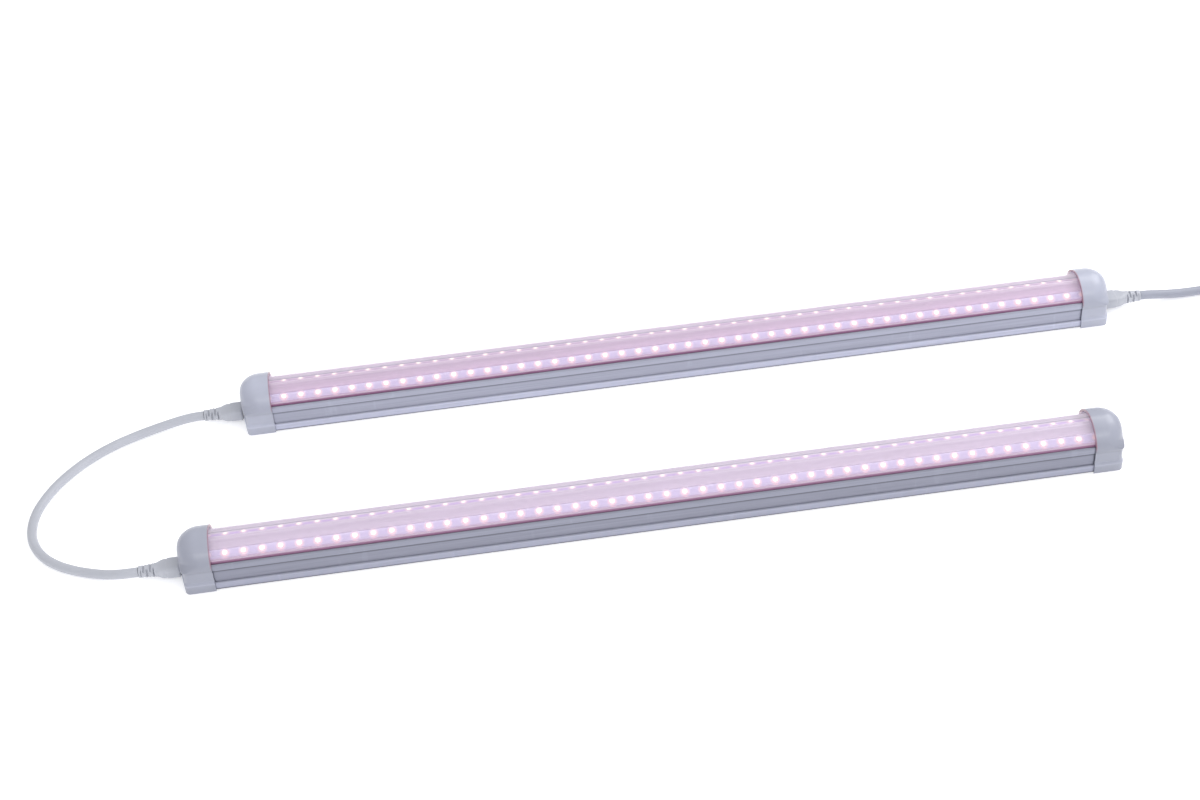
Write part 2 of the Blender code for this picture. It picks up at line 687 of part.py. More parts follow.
def build_bar(bar, place, parent):
    """All the pieces of one light bar."""
    dx, dy = place
    build_housing(bar, parent, dx, dy)
    build_lens(bar, parent, dx, dy)
    build_lamp_board(bar, "front_lamp_board", -1, parent, dx, dy)
    build_lamp_board(bar, "rear_lamp_board", 1, parent, dx, dy)
    build_lamp_lead(bar, "front_lamp_lead", -1, parent, dx, dy)
    build_lamp_lead(bar, "rear_lamp_lead", 1, parent, dx, dy)
    build_driver(bar, parent, dx, dy)
    build_through_wires(bar, parent, dx, dy)
    for end in ("left", "right"):
        build_cap(bar, end, parent, dx, dy)
        build_pin_header(bar, end, parent, dx, dy)
        build_cap_screw(bar, end, parent, dx, dy)


# ---------------------------------------------------------------- cords

def build_bar_plug(name, place, side, parent):
    """A moulded plug that enters a bar's socket; side is +1 where its cord leaves to +X."""
    x, y = place

    def ring(out, half_a, half_b, radius):
        return [(x + side * out, y + a, SOCKET_HEIGHT + b)
                for a, b in rounded_rect(half_a, half_b, radius)]

    bm = bmesh.new()
    nose_start = -NOSE_LENGTH
    loft(bm, [ring(nose_start, NOSE_HALF[0] - 0.5, NOSE_HALF[1] - 0.5, 1.0),
              ring(nose_start + 0.6, *NOSE_HALF, 1.4),
              ring(0.0, *NOSE_HALF, 1.4)])
    insert = add_object(name + "_insert", bm, "insert_white", parent)
    bores = bmesh.new()
    for offset in PIN_OFFSETS:
        rod(bores, (x + side * (nose_start - 1), y + offset, SOCKET_HEIGHT),
            (x + side * (nose_start + 5), y + offset, SOCKET_HEIGHT), NOSE_BORE, 8)
    combine(insert, bores, "DIFFERENCE")

    bm = bmesh.new()
    thick, thin = RELIEF_RADIUS
    loft(bm, [ring(GAP, PLUG_HALF[0] - 0.8, PLUG_HALF[1] - 0.8, PLUG_ROUND - 0.8),
              ring(GAP + 0.8, *PLUG_HALF, PLUG_ROUND),
              ring(PLUG_LENGTH - 5.0, *PLUG_HALF, PLUG_ROUND),
              ring(PLUG_LENGTH, thick, thick * 0.92, thick * 0.9),
              ring(RELIEF_END, thin, thin, thin)])
    add_object(name, bm, "cord_white", parent, 40)


def build_coil(parent):
    """The wound length of the power cord, as the stepped ring that its two layers fill."""
    bm = bmesh.new()
    reach = (COIL_COLUMNS - 1) / 2 * COIL_PITCH + CORD_RADIUS
    low, step = COIL_BASE, CORD_LIE + CORD_RADIUS
    top = step + COIL_PITCH
    upper = reach - COIL_PITCH
    cut = COIL_ROUND
    section = [(reach, low + cut), (reach, step - cut), (reach - cut, step), (upper, step),
               (upper, top - cut), (upper - cut, top), (cut - reach, top), (-reach, top - cut),
               (-reach, low + cut), (cut - reach, low), (reach - cut, low)]
    sides = 40
    rings = []
    for k in range(sides):
        a = 2 * math.pi * k / sides
        rings.append([bm.verts.new((COIL_CENTRE[0] + (COIL_MIDDLE + out) * math.cos(a),
                                    COIL_CENTRE[1] + (COIL_MIDDLE + out) * math.sin(a), z))
                      for out, z in section])
    for k in range(sides):
        near, far = rings[k - 1], rings[k]
        for i in range(len(section)):
            bm.faces.new((near[i - 1], near[i], far[i], far[i - 1]))
    add_object("power_cord_coil", bm, "cord_white", parent, 40)


def build_switch(parent, rocker_frame):
    """The inline switch: two shells, the rocker's frame and the rocker."""
    x, y = SWITCH_X, SWITCH_Y

    def ring(z, inset, radius):
        return [(x + a, y + b, z)
                for a, b in rounded_rect(SWITCH_HALF[0] - inset, SWITCH_HALF[1] - inset, radius, 4)]

    bm = bmesh.new()
    loft(bm, [ring(0.1, 2.0, 5.0), ring(1.2, 0.4, 6.2), ring(3.0, 0.0, 6.5),
              ring(SWITCH_SPLIT - GAP / 2, 0.0, 6.5)])
    base = add_object("switch_base", bm, "cord_white", parent, 40)
    hollow = bmesh.new()
    loft(hollow, [ring(SWITCH_WALL, SWITCH_WALL + 1, 4.0),
                  ring(SWITCH_SPLIT + 1, SWITCH_WALL, 4.7)])
    combine(base, hollow, "DIFFERENCE")

    bm = bmesh.new()
    loft(bm, [ring(SWITCH_SPLIT + GAP / 2, 0.0, 6.5), ring(SWITCH_TOP - 2.4, 0.6, 6.0),
              ring(SWITCH_TOP - 0.6, 2.0, 5.0), ring(SWITCH_TOP, 3.4, 4.0)])
    cover = add_object("switch_cover", bm, "cord_white", parent, 40)
    hollow = bmesh.new()
    loft(hollow, [ring(SWITCH_SPLIT - 1, SWITCH_WALL, 4.7),
                  ring(SWITCH_TOP - SWITCH_WALL, SWITCH_WALL + 2, 3.5)])
    combine(cover, hollow, "DIFFERENCE")
    window = bmesh.new()
    wide, long = WINDOW_HALF
    box(window, (x - wide, y - long, SWITCH_SPLIT), (x + wide, y + long, SWITCH_TOP + 1))
    combine(cover, window, "DIFFERENCE")

    bm = bmesh.new()
    frame_low = SWITCH_SPLIT - FRAME_DEPTH
    wide, long = FRAME_HALF
    wall = 1.3
    box(bm, (x - wide, y - long, frame_low), (x + wide, y + long, SWITCH_TOP + 0.4))
    frame = add_object("switch_frame", bm, "rocker_black", parent)
    hollow = bmesh.new()
    box(hollow, (x - wide + wall, y - long + wall, frame_low + wall),
        (x + wide - wall, y + long - wall, SWITCH_TOP + 2))
    combine(frame, hollow, "DIFFERENCE")
    holes = bmesh.new()
    rod(holes, (x - 9, y, ROCKER_PIVOT), (x + 9, y, ROCKER_PIVOT), 1.3, 12)
    combine(frame, holes, "DIFFERENCE")

    bm = bmesh.new()
    profile = [(-9.5, 4.4), (-5.0, 3.2), (0.0, 2.8), (5.0, 3.2), (9.5, 4.4),
               (8.6, 0.4), (4.0, -4.4), (-4.0, -4.4), (-8.6, 0.4)]
    cos_t, sin_t = math.cos(ROCKER_TILT), math.sin(ROCKER_TILT)
    turned = [(y + a * cos_t - b * sin_t, ROCKER_PIVOT + a * sin_t + b * cos_t) for a, b in profile]
    prism(bm, [turned], x - 5.9, x + 5.9)
    rocker = add_object("switch_rocker", bm, "rocker_black", rocker_frame)
    trunnions = bmesh.new()
    rod(trunnions, (x - 7.4, y, ROCKER_PIVOT), (x + 7.4, y, ROCKER_PIVOT), 1.0, 12)
    combine(rocker, trunnions, "UNION")


def build_mains_plug(parent):
    """A moulded mains plug that lies on its side, its blades towards -Y."""
    x, z = SWITCH_X, PLUG_AXIS_HEIGHT

    def ring(back, half_a, half_b, radius):
        return [(x + a, MAINS_REAR_Y - back, z + b)
                for a, b in rounded_rect(half_a, half_b, radius, 4)]

    relief, end = MAINS_RELIEF, MAINS_RELIEF + MAINS_BODY_LENGTH
    bm = bmesh.new()
    loft(bm, [ring(0.0, 3.9, 3.9, 3.9), ring(relief - 4, 5.6, 5.6, 5.6), ring(relief, 8.5, 8.0, 6.0),
              ring(relief + 7, 13.0, 11.2, 6.0), ring(end - 3, 14.0, 12.3, 5.0),
              ring(end, 13.2, 11.5, 4.4)])
    add_object("mains_plug", bm, "cord_white", parent, 40)
    face = MAINS_REAR_Y - end - GAP
    near, far = BLADE_EDGES
    for name, side in (("mains_blade_live", 1), ("mains_blade_neutral", -1)):
        height = z + side * BLADE_SPACING / 2
        bm = bmesh.new()
        box(bm, (x + near, face - BLADE_LENGTH, height - BLADE_THICK / 2),
            (x + far, face, height + BLADE_THICK / 2))
        add_object(name, bm, "contact_brass", parent)
    bm = bmesh.new()
    earth, shoulder = x + EARTH_OFFSET, face - EARTH_LENGTH + EARTH_TIP
    rod(bm, (earth, face, z), (earth, shoulder, z), EARTH_RADIUS, 12)
    tip = bmesh.new()
    rod(tip, (earth, shoulder + 0.5, z), (earth, face - EARTH_LENGTH, z), EARTH_RADIUS, 12,
        EARTH_RADIUS / 2)
    pin = add_object("mains_earth_pin", bm, "contact_brass", parent)
    combine(pin, tip, "UNION")


def build_link_cord(parent):
    build_bar_plug("link_rear_plug", (REAR[0] - HALF, REAR[1]), -1, parent)
    build_bar_plug("link_front_plug", (FRONT[0] - HALF, FRONT[1]), -1, parent)
    add_cord("link_cord_cable", LINK_ROUTE, parent)


def build_power_cord(parent, rocker_frame):
    build_bar_plug("power_bar_plug", (REAR[0] + HALF, REAR[1]), 1, parent)
    add_cord("power_cord_feed", FEED_ROUTE, parent)
    build_coil(parent)
    add_cord("power_cord_tail", TAIL_ROUTE, parent)
    build_switch(parent, rocker_frame)
    add_cord("power_cord_end", END_ROUTE, parent)
    build_mains_plug(parent)


def main():
    clear_scene()
    rear_bar = add_empty("rear_bar_frame", (*REAR, 0))
    front_bar = add_empty("front_bar_frame", (*FRONT, 0))
    link_cord = add_empty("link_cord_frame", (REAR[0] - HALF, REAR[1], SOCKET_HEIGHT))
    power_cord = add_empty("power_cord_frame", (REAR[0] + HALF, REAR[1], SOCKET_HEIGHT))
    rocker_frame = add_empty("rocker_axis", (SWITCH_X, SWITCH_Y, ROCKER_PIVOT))
    build_bar("rear", REAR, rear_bar)
    build_bar("front", FRONT, front_bar)
    build_link_cord(link_cord)
    build_power_cord(power_cord, rocker_frame)


main()
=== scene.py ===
"""Finished look of a linked pair of slim LED grow light bars, laid out as a Blender add-on.

Lengths in the code are in millimetres and become metres when a mesh is made.  X runs
along the bars, Y from the front bar to the rear bar and Z is up.
"""
import math

import bmesh
import bpy
import numpy as np
from bpy.props import FloatProperty, FloatVectorProperty, PointerProperty
from mathutils import Matrix, Vector


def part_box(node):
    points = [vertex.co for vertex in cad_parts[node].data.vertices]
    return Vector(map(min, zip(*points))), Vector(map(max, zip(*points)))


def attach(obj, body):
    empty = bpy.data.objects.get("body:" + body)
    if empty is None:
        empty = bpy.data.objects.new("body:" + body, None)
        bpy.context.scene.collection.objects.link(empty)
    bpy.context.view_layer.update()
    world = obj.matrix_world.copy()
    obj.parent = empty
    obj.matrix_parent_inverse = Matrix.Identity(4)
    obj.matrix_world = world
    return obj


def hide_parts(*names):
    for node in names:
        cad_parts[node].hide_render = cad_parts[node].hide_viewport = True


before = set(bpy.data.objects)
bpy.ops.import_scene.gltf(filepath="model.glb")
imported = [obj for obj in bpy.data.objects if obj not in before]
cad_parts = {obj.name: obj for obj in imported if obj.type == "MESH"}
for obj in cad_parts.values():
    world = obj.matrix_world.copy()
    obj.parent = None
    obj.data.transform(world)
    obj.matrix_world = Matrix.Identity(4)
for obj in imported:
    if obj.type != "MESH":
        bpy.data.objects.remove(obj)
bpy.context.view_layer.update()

bl_info = {
    "name": "Linked LED Grow Light Bars",
    "version": (1, 0, 0),
    "blender": (4, 5, 0),
    "location": "3D Viewport > Sidebar > Grow Light",
    "description": "Builds a linked pair of LED grow light bars with their cords",
    "category": "Add Mesh",
}

MM = 0.001
MERGE_DISTANCE = 1e-7           # metres
BARS = ("rear", "front")
ENDS = ("left", "right")

CLEARANCE = 0.3                 # between pieces that fit together

# Bar
HALF = 300.0                    # half of a bar's length over its caps
RIDGE_HEIGHT = 26.7
SLOPE = math.radians(30)        # of the two lamp faces
FLANGE_HALF = 17.6
FLANGE_HEIGHT = 6.2
GROOVE_HALF = 16.4
GROOVE_TOP = 15.3
LIP_HALF = 17.0
LIP_TOP = 20.2
CORNER_CUT = 0.5
CAVITY_HALF = 15.0
CAVITY_FLOOR = 2.0
ROOF_WALL = 2.8
HOUSING_HALF_LENGTH = 289.5
DOME_CENTRE = 15.0
DOME_RADIUS = 16.3
LENS_WALL = 1.2
LENS_FOOT = 19.0
LENS_HALF_LENGTH = 290.5
CHIP_COUNT = 48
CHIP_PITCH = 11.5
CHIP_GAP = 0.02                 # solder between a chip and its strip
BOARD_FROM_RIDGE = 10.05
BOARD_WIDTH = 5.4
BOARD_THICK = 1.0
BOARD_HALF_LENGTH = 282.0
LEAD_RADIUS = 0.6
LEAD_OFFSET = 8.6
SCREW_PLACE = (284.0, -11.4)

# End caps
CAP_INNER = 279.0
CAP_POCKET = 12.5
CAP_BAND = 19.1
CAP_RECESS = 18.1
CAP_RECESS_Z = (8.4, 15.8)
CAP_RECESS_DEPTH = 0.9
CAP_SIDE = 18.6
CAP_SPRING = 17.6
CAP_RISE = 15.0
CAP_POWER = 1.8
CAP_BOW = 2.6
CAP_EDGE = (2.5, 12.0)
CAP_EDGE_FALL = 0.85

# Connectors and cords
SOCKET_HEIGHT = 7.2
SOCKET_HALF = (6.0, 4.2)
PIN_OFFSETS = (-3.4, 0.0, 3.4)
PIN_ROOT = 285.0
PIN_TIP = 295.0
PLUG_HALF = (6.25, 4.3)
PLUG_LENGTH = 15.4
RELIEF_END = 26.4
BAR_RELIEF = (4.6, 3.8, 2.2)    # radius at each end of the sleeve, and spacing of its slits
CORD_RADIUS = 3.1
CORD_LIE = 3.2
CORD_GAP = 0.4
COIL_CENTRE = (434.0, 29.4)
COIL_MIDDLE = 36.0
COIL_PITCH = 6.4
COIL_TURNS = 6.25
TIE_TURN = 0.62                 # where the tie is, as a share of a turn
TIE_WIDTH = 7.0
SWITCH_X = COIL_CENTRE[0] + COIL_MIDDLE + COIL_PITCH / 2
SWITCH_Y = -44.0
SWITCH_HALF = (13.5, 31.0)
SWITCH_SPLIT = 9.8
SWITCH_TOP = 19.4
ROCKER_PIVOT = 17.6
ROCKER_TILT = math.radians(8)
MARK_OFFSET = 5.6               # of the on and off marks, from the rocker's middle
PLUG_AXIS_HEIGHT = 12.6
MAINS_REAR_Y = -114.0
MAINS_RELIEF = 22.0
MAINS_END = 56.0
MAINS_SLEEVE = (3.9, 6.0, 3.2)  # as BAR_RELIEF
MAINS_FACE = MAINS_REAR_Y - MAINS_END - 0.3
GRIP_PLACE = (33.0, 48.0)       # the ribbed length, from the plug's rear
GRIP_PITCH = 3.0
BLADE_HALF = 3.175
BLADE_STRAIGHT = 14.3           # length of a blade before its rounded end
BLADE_PLACE = (-4.025, 6.35)    # from the plug's axis, sideways and up or down
EARTH_OFFSET = 7.9
EARTH_RADIUS = 2.4
EARTH_STRAIGHT = 17.0

# Lamps' light, by distance from a chip or from a row of chips
HALO_REACH = (1.5, 3.8)
BAND_REACH = (0.5, 7.5)
ROOF_HALF = 14.0                # the lit roof's half width
ROOF_LOW = 17.3                 # and its lowest height
# Tops of the cover's painted shade at its foot and of the painted lamp light above it
COVER_FOOT_SHADE_TOP = 21.35
COVER_RIM_LIGHT_TOP = 22.7

# Camera, lights and floor, in metres
CAMERA_RISE = math.radians(40.0)
CAMERA_YAW = math.radians(4.72)
CAMERA_ROLL = math.radians(4.35)
CAMERA_AIM = Vector((-0.0402, 0.0437, 0.0))
CAMERA_DISTANCE = 1.363
CAMERA_LENS = 60.2              # millimetres, on a sensor of the width below
CAMERA_SENSOR = 36.0
KEY_PLACE = (1.2, 0.5, 1.2)
KEY_SIZE = (1.0, 1.0)
STRIP_PLACE = (0.1, -1.15, 1.4)
STRIP_SIZE = (2.4, 0.34)
FLOOR_HALF = 6.0
SKY_RAMP = ((0.35, (0.45, 0.46, 0.50)), (0.95, (1.0, 1.0, 1.0)))


def bar_place(bar):
    """The (x, y) of a bar's middle, from its housing's box."""
    low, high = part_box(bar + "_housing")
    return (low[0] + high[0]) / 2 / MM, (low[1] + high[1]) / 2 / MM


REAR = bar_place("rear")
FRONT = bar_place("front")

LINK_ROUTE = [
    (REAR[0] - HALF - RELIEF_END - CORD_GAP, REAR[1], SOCKET_HEIGHT),
    (-314.0, 72.45, 7.1), (-321.0, 72.1, 6.5), (-330.0, 71.0, 5.4), (-343.0, 68.2, 4.1),
    (-356.0, 63.8, 3.4), (-368.0, 58.0, CORD_LIE), (-379.0, 50.8, CORD_LIE),
    (-388.5, 42.8, CORD_LIE), (-397.0, 33.8, CORD_LIE), (-404.5, 23.8, CORD_LIE),
    (-410.5, 13.0, CORD_LIE), (-415.0, 1.5, CORD_LIE), (-417.1, -10.5, CORD_LIE),
    (-416.7, -22.5, CORD_LIE), (-413.2, -34.0, CORD_LIE), (-406.8, -44.3, CORD_LIE),
    (-398.0, -52.6, CORD_LIE), (-387.6, -59.0, CORD_LIE), (-376.4, -64.2, 3.6),
    (-366.4, -68.6, 4.9), (-357.0, -71.7, 6.6), (-351.0, -72.4, 7.1),
    (FRONT[0] - HALF - RELIEF_END - CORD_GAP, FRONT[1], SOCKET_HEIGHT),
]
FEED_ROUTE = [
    (REAR[0] + HALF + RELIEF_END + CORD_GAP, REAR[1], SOCKET_HEIGHT),
    (352.0, 72.55, 6.9), (360.0, 72.9, 5.7), (369.0, 73.4, 4.4), (379.0, 74.0, 3.5),
    (390.0, 74.5, CORD_LIE), (400.0, 74.9, CORD_LIE), (409.0, 75.0, CORD_LIE),
    (421.0, 75.0, CORD_LIE),
]
TAIL_ROUTE = [
    (SWITCH_X, 16.0, 9.65), (SWITCH_X, 5.6, 9.7), (SWITCH_X, 0.0, 9.7), (SWITCH_X, -6.0, 9.75),
    (SWITCH_X, SWITCH_Y + SWITCH_HALF[1] + CORD_GAP, SWITCH_SPLIT),
]
END_ROUTE = [
    (SWITCH_X, SWITCH_Y, SWITCH_SPLIT),
    (SWITCH_X, SWITCH_Y - SWITCH_HALF[1] - CORD_GAP, SWITCH_SPLIT),
    (SWITCH_X, -82.0, 9.2), (SWITCH_X, -89.0, 9.1), (SWITCH_X, -96.0, 9.6),
    (SWITCH_X, -104.0, 11.2), (SWITCH_X, MAINS_REAR_Y + CORD_GAP, PLUG_AXIS_HEIGHT),
]


# ---------------------------------------------------------------- settings

def length_property(name, description, millimetres):
    return FloatProperty(name=name, description=description, default=millimetres * MM,
                         min=0, unit="LENGTH")


def colour_property(name, description, colour):
    return FloatVectorProperty(name=name, description=description, default=colour,
                               subtype="COLOR", min=0, max=1)


def power_property(name, description, watts):
    return FloatProperty(name=name, description=description, default=watts, min=0,
                         unit="POWER")


class GrowLightSizes(bpy.types.PropertyGroup):
    """Fine sizes of the finished pieces; the main sizes come from the frame."""
    fillet: length_property("Extrusion fillet", "Rounding of the housing's corners", 0.35)
    rib_depth: length_property("Plug rib depth", "Depth of the mains plug's ribs", 0.8)
    slit_depth: length_property("Relief slit depth", "Depth of the strain relief slits", 1.5)
    mouth_bevel: length_property("Socket bevel", "Bevel round each cap's socket", 0.6)


class GrowLightColours(bpy.types.PropertyGroup):
    """Colours of the finishes and of the lamps' light."""
    aluminium: colour_property("Aluminium", "Satin extrusion", (0.57, 0.585, 0.72))
    cap: colour_property("Caps", "Moulded end caps", (0.50, 0.52, 0.63))
    cord: colour_property("Cords", "Link cord, plugs and switch", (0.47, 0.485, 0.54))
    # The power cord's sheath: the cord colour darkened as painted shade
    shaded_supply: colour_property("Power cord", "Sheath of the power cord", (0.335, 0.35, 0.42))
    glow: colour_property("Glow", "Light that lies on the lamp faces", (0.54, 0.45, 0.585))
    halo: colour_property("Halo", "Light close round each chip", (1.0, 0.68, 0.66))
    strip: colour_property("Lamp strip", "Light that lies on the strips", (0.50, 0.43, 0.64))
    lamp: colour_property("Chip light", "Light of a lamp chip", (1.0, 0.90, 0.96))
    cover: colour_property("Clear cover", "Tint of the clear cover", (0.80, 0.72, 0.82))
    # Painted shade, tinted by the lamps' light, on the outer wall of the cover's foot
    cover_foot_shade: colour_property("Cover edge", "Deep tint of the cover's foot",
                                (0.29, 0.125, 0.24))


class GrowLightStage(bpy.types.PropertyGroup):
    """Studio light and floor."""
    key_power: power_property("Key light", "Power of the large light", 12.0)
    strip_power: power_property("Strip light", "Power of the long light in front", 9.0)
    sky: FloatProperty(name="Sky", description="Strength of the even light all round",
                       default=0.88, min=0)
    floor_lift: FloatProperty(name="Floor lift", description="Glow that softens shadows",
                              default=0.34, min=0)
    floor: colour_property("Floor", "Floor colour", (0.93, 0.93, 0.935))


def settings(group):
    """The scene's own copy of a property group."""
    return getattr(bpy.context.scene, "growlight_" + group)


# ---------------------------------------------------------------- meshes

def grid_faces(rows, columns, wrap_rows=False, wrap_columns=False):
    """Quads of a grid of points; a wrapped side joins its last line to its first."""
    r = np.arange(rows if wrap_rows else rows - 1)[:, None]
    c = np.arange(columns if wrap_columns else columns - 1)[None, :]
    r2, c2 = (r + 1) % rows, (c + 1) % columns
    quads = [r * columns + c, r * columns + c2, r2 * columns + c2, r2 * columns + c]
    return np.stack(quads, axis=-1).reshape(-1, 4)


def ladder_faces(first, count):
    """Quads that fill a ring of an even count: point i is paired with point count - 1 - i."""
    i = np.arange(count // 2 - 1)
    return first + np.stack([i, i + 1, count - 2 - i, count - 1 - i], axis=-1)


def loft(grid):
    """A closed solid from rings of points: the rings' sides, and a ladder fill at both ends."""
    rows, columns = grid.shape[:2]
    faces = np.vstack([grid_faces(rows, columns, wrap_columns=True), ladder_faces(0, columns),
                       ladder_faces((rows - 1) * columns, columns)])
    return grid.reshape(-1, 3), faces


def patch(grid, wrap_rows=False, wrap_columns=False):
    """An open or wrapped surface from a grid of points."""
    return grid.reshape(-1, 3), grid_faces(*grid.shape[:2], wrap_rows, wrap_columns)


def joined(*shapes):
    """Several shapes as one list of points and faces."""
    starts = np.cumsum([0] + [len(points) for points, _ in shapes[:-1]])
    points = np.vstack([points for points, _ in shapes])
    return points, np.vstack([faces + start for (_, faces), start in zip(shapes, starts)])


def make_mesh(name, shape):
    """A mesh in metres from a shape in millimetres, doubles merged and faces turned out."""
    points, faces = shape
    mesh = bpy.data.meshes.new(name)
    mesh.from_pydata((points * MM).tolist(), [], faces.tolist())
    bm = bmesh.new()
    bm.from_mesh(mesh)
    bmesh.ops.remove_doubles(bm, verts=bm.verts, dist=MERGE_DISTANCE)
    bmesh.ops.dissolve_degenerate(bm, edges=bm.edges, dist=MERGE_DISTANCE / 10)
    bmesh.ops.recalc_face_normals(bm, faces=bm.faces)
    bm.to_mesh(mesh)
    bm.free()
    return mesh


def carved(name, shape, cutters):
    """The shape's mesh with each cutter shape taken away from it."""
    obj = bpy.data.objects.new(name, make_mesh(name, shape))
    bpy.context.scene.collection.objects.link(obj)
    tools = []
    for index, cutter in enumerate(cutters):
        tool = bpy.data.objects.new(f"{name}_tool_{index}", make_mesh("tool", cutter))
        bpy.context.scene.collection.objects.link(tool)
        modifier = obj.modifiers.new("cut", "BOOLEAN")
        modifier.operation = "DIFFERENCE"
        modifier.solver = "EXACT"
        modifier.object = tool
        tools.append(tool)
    evaluated = obj.evaluated_get(bpy.context.evaluated_depsgraph_get())
    mesh = bpy.data.meshes.new_from_object(evaluated)
    for made in [obj, *tools]:
        bpy.data.objects.remove(made, do_unlink=True)
    mesh.name = name
    return mesh


def add_piece(name, mesh, material, body, replaces=(), smooth=40):
    """Put a finished mesh in the scene on its body, and hide the frame's parts that it replaces."""
    if isinstance(mesh, tuple):
        mesh = make_mesh(name, mesh)
    mesh.materials.clear()
    mesh.materials.append(material)
    mesh.shade_smooth()
    mesh.set_sharp_from_angle(angle=math.radians(smooth))
    piece = bpy.data.objects.new(name, mesh)
    bpy.context.scene.collection.objects.link(piece)
    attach(piece, body)
    if replaces:
        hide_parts(*replaces)


def circle(count):
    """Even angles round a circle, the first of them half a step past zero."""
    return (np.arange(count) + 0.5) * 2 * np.pi / count


def section(half_a, half_b, power, count=48):
    """Superellipse sections: at angle t the point is a|cos t|^(2/n), b|sin t|^(2/n), signs kept.

    half_a, half_b and the power n are columns, one value for each section.
    """
    t = circle(count)
    exponent = 2 / np.asarray(power, float)
    a = half_a * np.sign(np.cos(t)) * np.abs(np.cos(t)) ** exponent
    b = half_b * np.sign(np.sin(t)) * np.abs(np.sin(t)) ** exponent
    return a, b


def column(values):
    """Numbers as a column, one for each section along a piece."""
    return np.asarray(values, float)[:, None]


def smooth_step(t):
    """0 below 0, 1 above 1, and 3t^2 - 2t^3 between."""
    t = np.clip(t, 0, 1)
    return t * t * (3 - 2 * t)


def box_shape(low, high):
    """A plain box between two corners, for cutting."""
    (x0, y0, z0), (x1, y1, z1) = low, high
    ring = np.array([(x0, y0), (x1, y0), (x1, y1), (x0, y1)], float)
    return loft(np.stack([np.column_stack([ring, np.full(4, z)]) for z in (z0, z1)]))


def extruded(loop, xs, dy=0.0):
    """Rings of points: a (y, z) loop repeated at each x."""
    return np.stack([np.column_stack([np.full(len(loop), x), loop[:, 0] + dy, loop[:, 1]])
                     for x in xs])


def along_x(x, y, z, a, b):
    """A solid whose sections, a across and b up, follow a line at y and z; x is a column."""
    return loft(np.stack([x + 0 * a, y + a, z + b], axis=-1))


def along_y(x, y, z, a, b):
    """The same along Y, where y is a column."""
    return loft(np.stack([x + a, y + 0 * a, z + b], axis=-1))


def turned(profile, centre):
    """A solid turned about an upright axis: radius and height pairs carried round a circle."""
    t = circle(32)
    radius, height = column([p[0] for p in profile]), column([p[1] for p in profile])
    return loft(np.stack([centre[0] + radius * np.cos(t), centre[1] + radius * np.sin(t),
                          height + 0 * t], axis=-1))


def smooth_route(points, spacing):
    """Even points in metres along the Catmull-Rom curve through a route's points."""
    p = np.array(points, float)
    p = np.vstack([2 * p[0] - p[1], p, 2 * p[-1] - p[-2]])
    t = np.linspace(0, 1, 20, endpoint=False)[None, :, None]
    a, b, c, d = (p[i:len(p) - 3 + i, None, :] for i in range(4))
    fine = 0.5 * (2 * b + (c - a) * t + (2 * a - 5 * b + 4 * c - d) * t ** 2
                  + (3 * b - a - 3 * c + d) * t ** 3)
    fine = np.vstack([fine.reshape(-1, 3), p[-2:-1]])
    run = np.concatenate([[0], np.cumsum(np.linalg.norm(np.diff(fine, axis=0), axis=1))])
    even = np.linspace(0, run[-1], round(run[-1] / spacing) + 1)
    return np.column_stack([np.interp(even, run, fine[:, k]) for k in range(3)]) * MM


# ---------------------------------------------------------------- finishes

